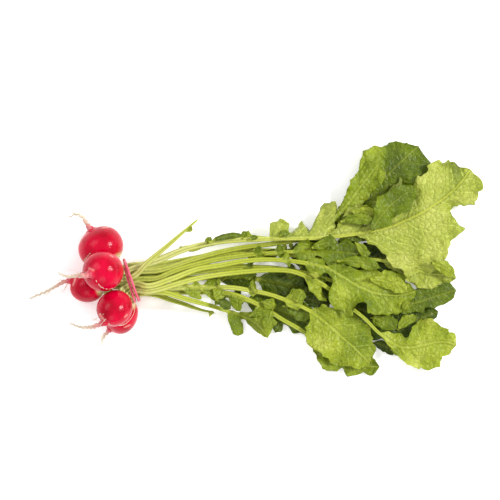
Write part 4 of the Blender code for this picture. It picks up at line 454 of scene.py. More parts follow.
# The room: the photograph looks straight down, 0.64 mm to a pixel
VIEW_CENTRE = (-0.00337, 0.00566)
VIEW_WIDTH = 0.320
VIEW_HEIGHT = 0.012             # height of the plane that the width is measured in
CAMERA_AWAY = 2.5
FLOOR_GLOW = 0.3                # the floor is lit a little from below, which softens the shadows
SKY_LIGHT = 0.62
LIGHT_TARGET = Vector((0.0, 0.0, 0.02))
# Each light's place, size and power
LIGHTS = {
    "key_light": ((1.25, 0.35, 1.05), 0.42, 27),
    "fill_light": ((-1.2, 0.9, 1.5), 1.4, 14),
    "front_light": ((-0.2, -1.6, 1.3), 1.2, 9),
}
NOISE_ROUGHNESS = 0.55          # of every noise in the paints


def unit(vector):
    """The vector as an array of length one."""
    vector = np.asarray(vector, float)
    return vector / np.linalg.norm(vector)


def smooth_slopes(at, values):
    """Slopes of a smooth curve through the values, which stand at the given distances."""
    slopes = np.gradient(values, axis=0)
    steps = np.diff(at)
    secants = np.diff(values, axis=0) / steps[:, None]
    slopes[0], slopes[-1] = secants[0], secants[-1]
    before, after = steps[:-1, None], steps[1:, None]
    slopes[1:-1] = (secants[:-1] * after + secants[1:] * before) / (before + after)
    return slopes


def level_slopes(at, values):
    """Slopes that never carry the curve past its own knots, for widths that fall to zero."""
    secants = np.diff(values, axis=0) / np.diff(at)[:, None]
    slopes = np.zeros_like(values)
    same_way = secants[:-1] * secants[1:] > 0
    total = np.where(same_way, secants[:-1] + secants[1:], 1.0)
    slopes[1:-1] = np.where(same_way, 2 * secants[:-1] * secants[1:] / total, 0.0)
    return slopes


def read_curve(at, values, slopes, where):
    """Values of the cubic curve at the distances in where."""
    left = np.clip(np.searchsorted(at, where, side="right") - 1, 0, len(at) - 2)
    step = (at[left + 1] - at[left])[:, None]
    t = (where - at[left])[:, None] / step
    rise = values[left + 1] - values[left]
    return (values[left] + step * slopes[left] * t * (1 - t) ** 2
            - step * slopes[left + 1] * t * t * (1 - t) + rise * t * t * (3 - 2 * t))


def distances(points):
    """Distance travelled from the first point to each."""
    steps = np.linalg.norm(np.diff(points, axis=0), axis=1)
    return np.concatenate(([0.0], np.cumsum(steps)))


class Bulb:
    """The bent axis of a radish, from its crown at -1 to its root at 1, and its tail."""

    def __init__(self, plan):
        to_crown = unit(plan["crown"]) * plan["crown_half"]
        to_root = unit(plan["root"]) * plan["root_half"]
        self.middle = np.array(plan["middle"])
        self.along = (to_root - to_crown) / 2
        self.bend = (to_root + to_crown) / 2
        self.radius = plan["radius"]
        self.root_radius = plan["root_radius"]
        self.tail = np.array(plan["tail"])

    def point(self, u):
        return self.middle + self.along * u + self.bend * u * u

    def crown_top(self):
        """Middle of the crown's flat top, and the way it faces."""
        slope = self.along + 2 * self.bend * CROWN_CUT
        return self.point(CROWN_CUT), -unit(slope)

    def tail_curve(self):
        """Points, distances and slopes of the curve that the taproot runs along."""
        knots = np.vstack((self.point(0.8), self.point(ROOT_CUT), self.tail))
        at = distances(knots)
        return knots, at, smooth_slopes(at, knots)


def neck_slot(plan, name):
    """Where a leaf's stalk passes the neck."""
    height = NECK_ROWS[plan["row"]] + STALK_RAISED.get(name, 0.0)
    return NECK + neck_ways()[1] * plan["place"] + UP * height


def neck_ways():
    """The way along the stalks at the neck, and the way across it, to their left."""
    along = np.array([math.cos(NECK_TURN), math.sin(NECK_TURN), 0.0])
    return along, np.cross(UP, along)


def stalk_starts(bulbs):
    """The first points of each stalk, from its crown to just past the band.

    The stalks of a radish run side by side along one guide, a curve that leaves the crown
    squarely and enters the neck along it, and they keep their places in the neck on the way.
    """
    along, _ = neck_ways()
    starts = {}
    for radish, bulb in bulbs.items():
        top, facing = bulb.crown_top()
        names = [name for name, plan in LEAVES.items() if plan["radish"] == radish]
        slots = np.array([neck_slot(LEAVES[name], name) for name in names])
        places = np.array([LEAVES[name]["place"] for name in names])
        entry = slots.mean(axis=0) - along * BAND_ROOM
        reach = np.linalg.norm(entry - top)
        for name, slot, place in zip(names, slots, places):
            sideways, rise = place - places.mean(), slot[2] - slots[:, 2].mean()
            points = []
            for t in GUIDE_STEPS:
                ease = t * t * (3 - 2 * t)
                spot = (top + (entry - top) * ease + facing * reach * t * (1 - t) ** 2
                        - along * reach * t * t * (1 - t))
                tangent = ((entry - top) * 6 * t * (1 - t) + facing * reach * (1 - t) * (1 - 3 * t)
                           + along * reach * t * (3 * t - 2))
                tangent = unit(tangent) if 0 < t < 1 else (facing if t == 0 else along)
                across = unit(np.cross(UP, tangent))
                crowding = CROWN_CROWDING + (1 - CROWN_CROWDING) * t
                points.append(spot + (across * sideways + np.cross(tangent, across) * rise) * crowding)
            points[0] = points[0] + facing * SEAT_GAP
            points = [points[0]] + [
                spot for spot in points[1:-1]
                if min(np.linalg.norm(spot - points[0]), np.linalg.norm(points[-1] - spot))
                > STALK_BASE_RADIUS] + [points[-1]]
            starts[name] = points + [slot + along * BAND_ROOM], facing
    return starts


def bell(x, width):
    return np.exp(-(x / width) ** 2)


def ease(x):
    """0 below 0, 1 above 1, and a smooth rise between."""
    x = np.clip(x, 0, 1)
    return x * x * (3 - 2 * x)


def leaf_ways(middle, facing):
    """For each row of a leaf: the way to its left, the way square to its run, and level ahead."""
    tangent = np.gradient(middle, axis=0)
    tangent[0] = facing
    tangent /= np.linalg.norm(tangent, axis=1)[:, None]
    side = np.cross(UP, tangent)
    side /= np.linalg.norm(side, axis=1)[:, None]
    return side, np.cross(tangent, side), np.cross(side, UP)


class Leaf:
    """Rows of points for the top and the bottom face of one leaf, stalk and blade."""

    def __init__(self, name, plan, start, facing, thick):
        self.name, self.facing, self.thick, self.wave = name, facing, thick, plan["wave"]
        self.side_columns = 3 if name in WIDE_LEAVES else 2
        route = np.array([row + (0,) * (6 - len(row)) for row in plan["rows"]], float)
        run = distances(np.vstack((start[-1][:2], route[:, :2])))[1:]
        share = np.clip(run / plan["drop"], 0, 1)
        falling = (1 - share) ** 2 * (1 + 2 * share)
        height = plan["lie"] + (start[-1][2] - plan["lie"]) * falling
        height += plan.get("curl", 0.0) * (run / run[-1]) ** 2
        self.knots = np.vstack((start, np.column_stack((route[:, :2], height))))
        sides = np.vstack((np.zeros((len(start), 4)), route[:, 2:]))
        self.widths, self.leans = sides[:, :2], sides[:, 2:]
        self.at = distances(self.knots)
        self.neck_at = self.at[len(start) - 1]
        self.rows_at, self.centre, reach, lean, radius = self.sample(STALK_STEP, BLADE_STEP, STEP_SLACK)
        grown = len(start) > 1                      # a leaflet starts with one point, on a leaf
        self.rooted = 0 if grown else 1             # rows that may dip into their carrier
        self.free = self.rows_at > self.neck_at + (2.0 if grown else -1.0)    # rows that may be lifted
        self.stiff = reach.max(axis=1) < STIFF_WIDTH
        self.build(reach, lean, radius)

    def sample(self, stalk_step, blade_step, slack):
        """Mesh rows, and at each one the leaf's middle, reach, lean and radius of stalk."""
        rows = [self.at[0]]
        for k in range(len(self.at) - 1):
            bare = self.widths[k].max() + self.widths[k + 1].max() < BARE_WIDTH
            step = stalk_step if bare else blade_step
            count = max(1, math.ceil((self.at[k + 1] - self.at[k]) / step - slack))
            rows.extend(np.linspace(self.at[k], self.at[k + 1], count + 1)[1:])
        rows = np.array(rows)
        middle = read_curve(self.at, self.knots, smooth_slopes(self.at, self.knots), rows)
        reach = read_curve(self.at, self.widths, level_slopes(self.at, self.widths), rows)
        lean = np.column_stack([np.interp(rows, self.at, self.leans[:, k]) for k in (0, 1)])
        share = (rows - self.neck_at) / (self.at[-1] - self.neck_at)
        radius = self.thick * np.interp(share, STALK_SHARES, STALK_RADII)
        return rows, middle, np.maximum(reach, 0), lean, radius

    def build(self, reach, lean, radius):
        side, normal, ahead = leaf_ways(self.centre, self.facing)
        count = self.side_columns
        self.top = np.zeros((len(radius), 2 * count + 1, 3))
        self.bottom = np.zeros_like(self.top)
        teeth = np.where(np.arange(len(radius)) % 2 == 0, 1.0, -1.0)
        rib = RIB_WIDTH * radius
        for column in range(2 * count + 1):
            a = abs(column - count) / count         # 0 at the midrib, 1 at the edge
            which, sign, phase = (0, 1.0, 0.0) if column < count else (1, -1.0, EDGE_PHASE)
            wide = np.maximum(reach[:, which], radius)
            blade = np.clip((wide - radius) / (UNFOLD * radius), 0, 1)
            beyond = max(0.0, (a - 1 / count) / (1 - 1 / count))
            flat_out = np.where(a * count < 1.001, rib * a * count, rib + (wide - rib) * beyond)
            out = radius * math.sin(a * math.pi / 2) * (1 - blade) + flat_out * blade
            if a == 1:                              # the waved edge
                out = out * (1 + TOOTH * teeth * (blade > 0.99))
            half_round = np.maximum(radius * math.cos(a * math.pi / 2), EDGE / 2)
            crest, keel = (BLADE / 2 + share * radius * (a == 0) for share in (CAD_CREST, CAD_KEEL))
            above = half_round * (1 - blade) + crest * blade
            below = half_round * (1 - blade) + keel * blade
            lift = blade * a * a * self.wave[0] * np.sin(2 * math.pi * self.rows_at / self.wave[1] + phase)
            # The blade is upright in section, the stalk square to its own run.
            stand = normal * (1 - blade)[:, None] + UP * blade[:, None]
            forward = lean[:, which] * np.maximum(out - rib, 0) * blade
            flat = (self.centre + side * (sign * out)[:, None] + ahead * forward[:, None]
                    + UP * lift[:, None])
            self.top[:, column] = flat + stand * above[:, None]
            self.bottom[:, column] = flat - stand * below[:, None]

    def triangles(self, face):
        """The face's triangles, split alike above and below: rows, columns, two, corners, xyz."""
        a, b = face[:-1, :-1], face[:-1, 1:]
        c, d = face[1:, 1:], face[1:, :-1]
        return np.stack((np.stack((a, b, c), axis=2), np.stack((a, c, d), axis=2)), axis=2)

    def raise_over(self, pile):
        """Lifts the leaf clear of the surface and of the leaves under it."""
        before = self.top[..., 2].copy()
        front, back = slice(None, -1), slice(1, None)
        for _ in range(LIFT_ROUNDS):
            need = pile.need(self.triangles(self.bottom))
            need[:self.rooted] = 0.0
            lift = np.zeros(self.top.shape[:2])
            first, second = need[..., 0], need[..., 1]
            whole = np.maximum(first, second)
            for rows, columns, amount in ((front, front, whole), (back, back, whole),
                                          (front, back, first), (back, front, second)):
                lift[rows, columns] = np.maximum(lift[rows, columns], amount)
            lift[~self.free] = 0.0
            if lift.max() < LIFT_ENOUGH:
                break
            lift = self.relaxed(lift)
            self.top[..., 2] += lift
            self.bottom[..., 2] += lift
        self.rise = self.top[..., 2] - before

    def relaxed(self, lift):
        """Spreads each lift smoothly along the leaf, and never below what is needed."""
        for _ in range(SPREAD_ROUNDS):
            stiff = lift[self.stiff]
            lift[self.stiff] = stiff.max(axis=1)[:, None]
            spread = lift.copy()
            spread[1:-1] = (lift[:-2] + 2 * lift[1:-1] + lift[2:]) / 4
            spread[-1] = (lift[-2] + lift[-1]) / 2
            sideways = spread.copy()
            sideways[:, 1:-1] = (spread[:, :-2] + 2 * spread[:, 1:-1] + spread[:, 2:]) / 4
            lift = np.maximum(lift, sideways)
            lift[~self.free] = 0.0
        return lift


class Pile:
    """Height of what lies on the surface so far, over a fine square grid."""

    LOW = np.array([-150.0, -90.0])
    HIGH = np.array([160.0, 90.0])

    def __init__(self):
        size = ((self.HIGH - self.LOW) / CELL).astype(int) + 2
        self.height = np.full(size, -GAP)

    def cells(self, corners):
        """Grid cells under a triangle, with the triangle's height at each."""
        low = np.floor((corners[:, :2].min(axis=0) - self.LOW) / CELL).astype(int)
        high = np.ceil((corners[:, :2].max(axis=0) - self.LOW) / CELL).astype(int) + 1
        gx = np.arange(low[0], high[0])
        gy = np.arange(low[1], high[1])
        x = gx[:, None] * CELL + self.LOW[0] - corners[0, 0]
        y = gy[None, :] * CELL + self.LOW[1] - corners[0, 1]
        (ux, uy, uz), (vx, vy, vz) = corners[1] - corners[0], corners[2] - corners[0]
        area = ux * vy - uy * vx
        if abs(area) < 1e-9:
            return None
        s = (x * vy - y * vx) / area
        t = (y * ux - x * uy) / area
        inside = (s >= -0.02) & (t >= -0.02) & (s + t <= 1.02)
        return (slice(low[0], high[0]), slice(low[1], high[1])), inside, corners[0, 2] + s * uz + t * vz

    def height_at(self, x, y):
        """Height of the pile at a place."""
        column, row = ((np.array((x, y)) - self.LOW) / CELL).round().astype(int)
        return self.height[column, row]

    def need(self, triangles):
        """How far each triangle must rise to clear what lies under it."""
        shape = triangles.shape[:-2]
        result = np.zeros(int(np.prod(shape)))
        for k, corners in enumerate(triangles.reshape(-1, 3, 3)):
            found = self.cells(corners)
            floor = max(0.0, -corners[:, 2].min())
            if found is not None:
                where, inside, height = found
                short = np.where(inside, self.height[where] + GAP - height, 0.0)
                floor = max(floor, short.max())
            result[k] = floor
        return result.reshape(shape)

    def add(self, triangles):
        for corners in triangles.reshape(-1, 3, 3):
            found = self.cells(corners)
            if found is not None:
                where, inside, height = found
                before = self.height[where]
                self.height[where] = np.where(inside, np.maximum(before, height), before)


def band_path(steps):
    """The band's middle line: twice round the stalks, one turn beside the other.

    At each angle it passes just outside the stalk that reaches furthest that way. The turns
    swap sides where the outer one climbs over the inner one.
    """
    along, across = neck_ways()
    middle_height = (NECK_ROWS[0] + NECK_ROWS[-1]) / 2
    stalks = np.array([(plan["place"], neck_slot(plan, name)[2] - middle_height)
                       for name, plan in LEAVES.items()])
    clear = STALK_NECK_RADIUS + STRAND_RADIUS + GAP + 0.1
    points = []
    for k in range(2 * steps):
        turn = 2 * math.pi * k / steps
        facing = np.array([-math.cos(turn), math.sin(turn)])
        furthest = stalks[np.argmax(stalks @ facing)]
        spot = furthest + facing * (clear + BAND_HOP * (1 + math.sin(turn / 2)))
        shift = BAND_SPREAD * math.cos(turn / 2)
        points.append(NECK + UP * middle_height + across * spot[0] + UP * spot[1] + along * shift)
    return np.array(points)


def colour_of(value):
    """A colour in linear light, from its six hexadecimal digits or from a share of white."""
    if isinstance(value, float):
        return (value, value, value, 1.0)
    shares = [((value >> shift) & 255) / 255 for shift in (16, 8, 0)]
    return tuple(c / 12.92 if c <= 0.04045 else ((c + 0.055) / 1.055) ** 2.4 for c in shares) + (1.0,)


def ripple(x, y, size, seed):
    """A smooth uneven field around 0, mostly between -1 and 1, with swells of about the size."""
    rng = np.random.default_rng(seed)
    total = np.zeros(np.broadcast(x, y).shape)
    for _ in range(9):
        turn, phase = rng.uniform(0, 2 * math.pi, 2)
        wave = 2 * math.pi / (size * rng.uniform(1.3, 2.6))
        total += np.sin((x * math.cos(turn) + y * math.sin(turn)) * wave + phase)
    return total / 3.0


def solid_from_rings(name, rings, surface, masks):
    """A closed mesh from rings of points in millimetres, with its masks as point attributes."""
    count, size = rings.shape[:2]
    near = np.arange(count - 1)[:, None] * size
    here = np.arange(size)[None, :]
    after = (here + 1) % size
    quads = np.stack((near + here, near + after, near + size + after, near + size + here), axis=2)
    faces = quads.reshape(-1, 4).tolist()
    faces.append(list(range(size))[::-1])
    faces.append(list(range((count - 1) * size, count * size)))
    points = rings.reshape(-1, 3)
    a, b, c = (points[quads.reshape(-1, 4)[:, k]] for k in (0, 1, 2))
    if np.sum(a * np.cross(b, c)) < 0:
        faces = [face[::-1] for face in faces]
    return finish_piece(name, points, faces, surface, masks)


def finish_piece(name, points, faces, surface, masks):
    """The mesh as a piece that rides on the bunch's body."""
    mesh = bpy.data.meshes.new(name)
    mesh.from_pydata(((np.asarray(points) + MOVED) * MM).tolist(), [], faces)
    mesh.validate()
    mesh.shade_smooth()
    for key, values in masks.items():
        kind, field = ("FLOAT_VECTOR", "vector") if values.ndim == 3 else ("FLOAT", "value")
        mesh.attributes.new(key, kind, "POINT").data.foreach_set(field, values.astype(np.float32).ravel())
    mesh.materials.append(surface)
    piece = bpy.data.objects.new(name, mesh)
    bpy.context.scene.collection.objects.link(piece)
    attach(piece, "root")
    return piece


class FineLeaf:
    """The fine mesh of a leaf: the same run and widths as the plan, with veins and margins."""

    def __init__(self, leaf):
        self.leaf = leaf
        self.seed = sum(ord(letter) * (k + 1) for k, letter in enumerate(leaf.name))
        self.set_columns()
        self.set_rise()
        self.set_flat()
        self.set_heights()

    def either(self, pair):
        """The left or the right one of a pair that each row has, for each point."""
        return np.where(self.left, pair[:, :1], pair[:, 1:])

    def swing(self, size, turn):
        """Uneven swells of a size over the leaf as seen from above, each turn with others."""
        return ripple(self.x, self.y, size, self.seed + turn)

    def set_columns(self):
        """How far each point lies from the midrib, and where it is stalk, 0, or blade, 1."""
        leaf = self.leaf
        self.s, self.centre, reach, self.lean, radius = leaf.sample(STALK_ROW, BLADE_ROW, 0.0)
        if leaf.name in LEAVES:
            radius *= 1 + FOOT_SWELL * bell(self.s, FOOT_LENGTH)
        tip = np.sqrt(np.clip((leaf.at[-1] - self.s) / TIP_LENGTH, 0.02, 1))
        self.radius = radius = (radius * tip)[:, None]
        half = WIDE_SECTION if leaf.name in WIDE_LEAVES else SECTION
        b = np.linspace(1, -1, 2 * half + 1)[None, :]
        self.b, self.left = np.abs(b), b >= 0
        self.hand = np.where(self.left, 1.0, -1.0)
        self.wide_mm = np.maximum(self.either(reach * tip[:, None]), radius)
        self.blade = ease((self.wide_mm - radius) / (UNFOLD * radius))
        self.rib_mm = RIB_WIDTH * radius
        beyond = np.clip((self.b - RIB_SHARE) / (1 - RIB_SHARE), 0, 1)
        flat_out = self.rib_mm * np.minimum(self.b / RIB_SHARE, 1) + (self.wide_mm - self.rib_mm) * beyond
        self.out = radius * np.sin(self.b * math.pi / 2) * (1 - self.blade) + flat_out * self.blade
        self.u = self.out / self.wide_mm

    def set_rise(self):
        """How far the pile and the waves lift each point, read from the coarse leaf."""
        leaf, rib, coarse = self.leaf, self.rib_mm, self.leaf.side_columns
        past_rib = 1 / coarse + (self.out - rib) / np.maximum(self.wide_mm - rib, 1e-6) * (1 - 1 / coarse)
        coarse_blade = np.where(self.out <= rib, self.out / (rib * coarse), past_rib)
        a = np.clip(self.b * (1 - self.blade) + coarse_blade * self.blade, 0, 1)
        rise = read_curve(leaf.rows_at, leaf.rise, level_slopes(leaf.rows_at, leaf.rise), self.s)
        phase = 2 * math.pi * self.s[:, None] / leaf.wave[1] + np.where(self.left, 0.0, EDGE_PHASE)
        self.rise = self.read_across(rise, coarse * (1 - a * self.hand))
        self.wave = self.blade * a ** 2 * leaf.wave[0] * np.sin(phase)

    @staticmethod
    def read_across(values, place):
        """Smooth reading between the coarse columns."""
        last = values.shape[1] - 1
        left = np.clip(np.floor(place).astype(int), 0, last - 1)
        t = place - left
        rows = np.arange(len(values))[:, None]
        p0, p1 = values[rows, np.maximum(left - 1, 0)], values[rows, left]
        p2, p3 = values[rows, left + 1], values[rows, np.minimum(left + 2, last)]
        return p1 + 0.5 * t * (p2 - p0 + t * (2 * p0 - 5 * p1 + 4 * p2 - p3
                                              + t * (3 * (p1 - p2) + p3 - p0)))

    def set_flat(self):
        """Where each point lies seen from above, with the margin's teeth and swings."""
        side, self.normal, forward = leaf_ways(self.centre, self.leaf.facing)
        lean = self.either(self.lean)
        ahead = lean * np.maximum(self.out - self.rib_mm, 0) * self.blade
        self.flat = (self.centre[:, None, :] + side[:, None, :] * (self.out * self.hand)[..., None]
                     + forward[:, None, :] * ahead[..., None])
        self.x, self.y = self.flat[..., 0].copy(), self.flat[..., 1].copy()
        room = np.clip((self.wide_mm - self.radius) / TEETH_ROOM, 0, 1) * self.u ** 3 * self.blade
        for k, (size, depth) in enumerate(TEETH):
            for axis in (0, 1):
                self.flat[..., axis] += depth * room * self.swing(size, 60 + 2 * k + axis)
        # How far along the side veins run: the veins of a lobe follow the lobe's own lean.
        lean = np.maximum(VEIN_LEAN - lean, 0)
        along = self.s[:, None] - lean * self.out - VEIN_BOW * self.out ** 2
        self.v = (along + VEIN_WANDER * ripple(along, 9 * self.hand, 9.0, self.seed + 5)
                  + 0.35 * self.hand * VEIN_SPACING)

    def set_heights(self):
        radius, blade = self.radius, self.blade
        phase = self.v / VEIN_SPACING
        off = np.abs(phase - np.round(phase)) * VEIN_SPACING
        side_vein = bell(off, 1.0) * (1 - 0.6 * self.u)
        rib = bell(self.out, 0.62 * radius)
        up = self.leaf.name not in UNDERSIDE_UP
        swell = np.clip(1 - side_vein - rib, 0, 1) - 0.5
        free = ease(self.u * 1.6) * np.clip(self.wide_mm / 8.0, 0.3, 1)
        pucker = (PUCKER * swell * (1 if up else -1) + CRINKLE * self.swing(2.6, 20)
                  + 0.5 * PUCKER * self.swing(5.0, 25))
        frill = FRILL * self.u ** 4 * self.swing(4.5, 30)
        roll = ROLL * self.u ** 1.5 * self.swing(10.0, 40)
        relief = blade * free * (pucker + frill + roll)
        ridges = RIDGE * radius * np.cos(self.b * 15) * (1 - blade)
        groove = GROOVE * radius * bell(self.out, 0.36 * radius) * (1 - blade)
        half_round = np.maximum(radius * np.cos(self.b * math.pi / 2), 0.18) + ridges
        skin = SKIN + (MARGIN_SKIN - SKIN) * self.u ** 2
        crest = CREST * radius * rib
        keel = KEEL * radius * rib + VEIN_RELIEF * side_vein
        top_add, low_add = (crest, keel) if up else (keel, crest)
        above = (half_round - groove) * (1 - blade) + (skin + top_add) * blade
        below = half_round * (1 - blade) + (skin + low_add) * blade
        stand = self.normal[:, None, :] * (1 - blade)[..., None] + UP * blade[..., None]
        flat = self.flat + UP * (self.rise + self.wave + relief)[..., None]
        self.top = flat + stand * above[..., None]
        self.bottom = flat - stand * below[..., None]
        rise = np.maximum(CLEARANCE - self.bottom[..., 2], 0.0)
        self.top[..., 2] += rise
        self.bottom[..., 2] += rise
        self.rib = rib * blade * RIB_SHOWN.get(self.leaf.name, RIB_ELSEWHERE) + (1 - blade)
        # The groove mask is painted shade: dark in the stalk's groove, along its sides and in the fold
        # beside the midrib.
        self.groove = (1 - blade) * np.clip(
            0.8 * bell(self.out, 0.24 * radius) + 0.6 * bell(self.b - 0.75, 0.12), 0, 1)
        self.groove += blade * 0.75 * bell(self.out - radius - 0.35, 0.40)

    def make(self, surface, tone):
        name = self.leaf.name
        rings = np.concatenate((self.top, self.bottom[:, ::-1]), axis=1)
        tone = tone + 0.06 * self.swing(12.0, 50)
        # Patches of painted light and painted shade, partly the leaf's own tone.
        for x, y, reach_x, reach_y, change in LIGHT_AND_SHADE_PATCHES.get(name, ()):
            away = ((self.x - x) / reach_x) ** 2 + ((self.y - y) / reach_y) ** 2
            tone += change * np.exp(-away * away)
        start, stop = PALENESS.get(name, STALK_RUN if name in LEAVES else LEAFLET_RUN)
        even = np.ones(tone.shape)
        top_under = 1.0 if name in UNDERSIDE_UP else 0.0
        masks = {
            "tone": tone, "rib": self.rib, "groove": self.groove, "share": self.u * self.blade,
            "along": (start + (stop - start) * self.s / self.s[-1])[:, None] * even,
            "vein": VEIN_SHOWN.get(name, VEIN_ELSEWHERE) * even, "under": top_under * even,
            "run": np.stack((self.v, self.out, float(self.seed % 97) * even), axis=2),
        }
        low = dict(masks, groove=0 * even, under=(1 - top_under) * even)
        for key, top in masks.items():
            masks[key] = np.concatenate((top, low[key][:, ::-1]), axis=1)
        return solid_from_rings(name + "_fine", rings, surface, masks)


def leaflet_plan(x0, y0, x1, y1, width, curl, lie):
    """The plan of a small side lobe: rows of a rounded blade that bends a little on its way."""
    start, end = np.array((x0, y0)), np.array((x1, y1))
    across = np.array((y0 - y1, x1 - x0)) * LEAFLET_BEND
    rows = []
    for t, share in LEAFLET_ROWS:
        x, y = start + (end - start) * t + across * math.sin(math.pi * t)
        rows.append((x, y, share * width / 2, share * width / 2))
    return dict(lie=lie, drop=1.0, wave=(0.5, 9.0), curl=curl, rows=tuple(rows))


def tube(points, radii, sides):
    """Rings of points round a route, without twist."""
    points = np.asarray(points, float)
    tangents = np.gradient(points, axis=0)
    across = unit(np.cross(tangents[0], (0.2, 0.3, 0.93)))
    turns = 2 * math.pi * np.arange(sides) / sides
    rings = []
    for point, tangent, radius in zip(points, tangents, radii):
        tangent = unit(tangent)
        across = unit(across - tangent * np.dot(across, tangent))
        other = np.cross(tangent, across)
        rings.append(point + radius * (np.cos(turns)[:, None] * across + np.sin(turns)[:, None] * other))
    return np.array(rings)


def taproot(name, bulb, first, shares):
    """Middles and radii down the taproot, from the bulb's end, of the radius first, to its tip."""
    knots, at, slopes = bulb.tail_curve()
    middles, radii = [], []
    for share in shares:
        taper = bulb.root_radius * (1 - share) + ROOT_TIP_RADIUS * share
        flare = (first - bulb.root_radius) * math.exp(-share * ROOT_FLARE)
        where = at[1] + share * (at[-1] - at[1])
        wander = ROOT_WIGGLE * ease(share * 5) * np.sin(where * np.array([1.5, 1.9, 1.2]) + len(name))
        middles.append(read_curve(at, knots, slopes, np.array([where]))[0] + wander)
        slim = 1 + (ROOT_SLIM - 1) * ease(share * 8)
        radii.append((taper + flare) * slim * (1 if share < 0.97 else 0.55))
    return middles, radii


def scars_on(name, rings, height):
    """How much each point of the skin is scarred, on the side above the height."""
    scar = np.zeros(rings.shape[:2])
    for x0, y0, x1, y1, wide in SCARS[name]:
        along = np.array((x1 - x0, y1 - y0))
        off = rings[..., :2] - (x0, y0)
        share = np.clip(off @ along / (along @ along), 0, 1)
        off = np.linalg.norm(off - share[..., None] * along, axis=-1)
        scar = np.maximum(scar, bell(off, wide) * (rings[..., 2] > height))
    return scar


def make_fine_radish(name, plan, surface):
    """The skin, the crown and the taproot as one closed mesh."""
    bulb = Bulb(plan)
    places = np.sin(np.linspace(math.asin(CROWN_CUT), math.asin(ROOT_CUT), SKIN_RINGS))
    shares = np.linspace(0, 1, TAIL_RINGS + 1)[1:] ** 1.25
    radii = [bulb.radius * (1 - abs(u) ** BULB_FULLNESS) ** 0.5 for u in places]
    root_middles, root_radii = taproot(name, bulb, radii[-1], shares)
    cap_places, cap_radii, cap_heights = np.transpose(CROWN_CAP)
    top, facing = bulb.crown_top()
    middles = [top + facing * rise for rise in cap_heights] + [bulb.point(u) for u in places] + root_middles
    radii = [radii[0] * wide for wide in cap_radii] + radii + root_radii
    rings = tube(middles, radii, SKIN_SIDES)
    middles = np.array(middles)[:, None, :]
    down = np.arange(len(rings))[:, None]
    turns = 2 * math.pi * np.arange(SKIN_SIDES)[None, :] / SKIN_SIDES
    seed = sum(ord(letter) for letter in name)
    even = np.ones_like(turns)
    root = np.concatenate((np.zeros(len(cap_places) + len(places)), shares))[:, None] * even
    on_bulb = 1 - ease(root * 12)
    dents = ripple(np.cos(turns) * 6 + 0 * down, np.sin(turns) * 6 + 0.16 * down, 5.0, seed)
    knobs = ripple(turns * 1.4 + 0 * down, 0.8 * down, 4.0, seed + 3)
    swell = 1 + 0.008 * dents * on_bulb + 0.14 * knobs * (1 - on_bulb)
    rings = middles + (rings - middles) * swell[..., None]
    rings[..., 2] = np.maximum(rings[..., 2], 0.02)
    u = np.concatenate((cap_places, places, np.ones(len(shares))))[:, None] * even
    masks = {"root": root, "scar": scars_on(name, rings, plan["middle"][2]),
             "crown": ease((-0.66 - u) / 0.24), "end": ease((u - 0.84) / 0.16)}
    piece = solid_from_rings(name + "_fine", rings, surface, masks)
    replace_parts(piece, name)
    return piece


def make_side_roots(name, skin_piece, surface):
    """The thin roots that spring from the taproot or lie on the skin."""
    tree = BVHTree.FromPolygons([v.co for v in skin_piece.data.vertices],
                                [p.vertices for p in skin_piece.data.polygons])
    for k, (route, first, last) in enumerate(SIDE_ROOTS[name]):
        points = []
        for x, y, z in route:
            if z is None:
                above = Vector(((x + MOVED[0]) * MM, (y + MOVED[1]) * MM, 0.2))
                hit = tree.ray_cast(above, Vector((0, 0, -1)))[0]
                z = hit.z / MM + 0.1 if hit else RADISHES[name]["middle"][2]
            points.append((x, y, z))
        points = np.array(points)
        at = distances(points)
        where = np.linspace(0, at[-1], SIDE_ROOT_RINGS)
        fine = read_curve(at, points, smooth_slopes(at, points), where)
        fine[:, 2] += 0.25 * np.sin(where * 1.9 + k)
        fine[:, :2] += 0.12 * np.sin(where[:, None] * 2.7 + np.array([0.0, 1.5]) + k)
        radii = np.linspace(first, last, SIDE_ROOT_RINGS) * (1 + 0.12 * np.sin(where * 4.1))
        rings = tube(fine, radii, SIDE_ROOT_SIDES)
        even = np.ones(rings.shape[:2])
        masks = {"root": SIDE_ROOT_PALENESS * even, "scar": 0 * even, "crown": 0 * even, "end": even}
        solid_from_rings(f"{name}_side_root_{k + 1}", rings, surface, masks)


def make_fine_band(surface):
    """Both turns of the band as one closed loop, drawn a little smoother than the CAD one."""
    path = band_path(BAND_STEPS)
    at = distances(np.vstack((path, path[:1])))
    where = np.arange(0, at[-1], BAND_ROW)
    path = np.column_stack([np.interp(where, at, np.append(path[:, k], path[0, k])) for k in range(3)])
    for _ in range(3):
        path = (np.roll(path, 1, axis=0) + 2 * path + np.roll(path, -1, axis=0)) / 4
    ahead = np.roll(path, -1, axis=0) - np.roll(path, 1, axis=0)
    along, _ = neck_ways()
    turns = 2 * math.pi * np.arange(BAND_SIDES) / BAND_SIDES
    wide, tall = STRAND_WIDE * np.cos(turns)[:, None], STRAND_TALL * np.sin(turns)[:, None]
    points, faces = [], []
    for k, (point, tangent) in enumerate(zip(path, ahead)):
        tangent = unit(tangent)
        first = unit(along - tangent * np.dot(along, tangent))
        second = np.cross(tangent, first)
        points.append(point + STRAND_RADIUS * (wide * first + tall * second))
        here, there = k * BAND_SIDES, (k + 1) % len(path) * BAND_SIDES
        for i in range(BAND_SIDES):
            j = (i + 1) % BAND_SIDES
            faces.append([here + i, here + j, there + j, there + i])
    piece = finish_piece("rubber_band_fine", np.concatenate(points), faces, surface, {})
    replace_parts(piece, "rubber_band")


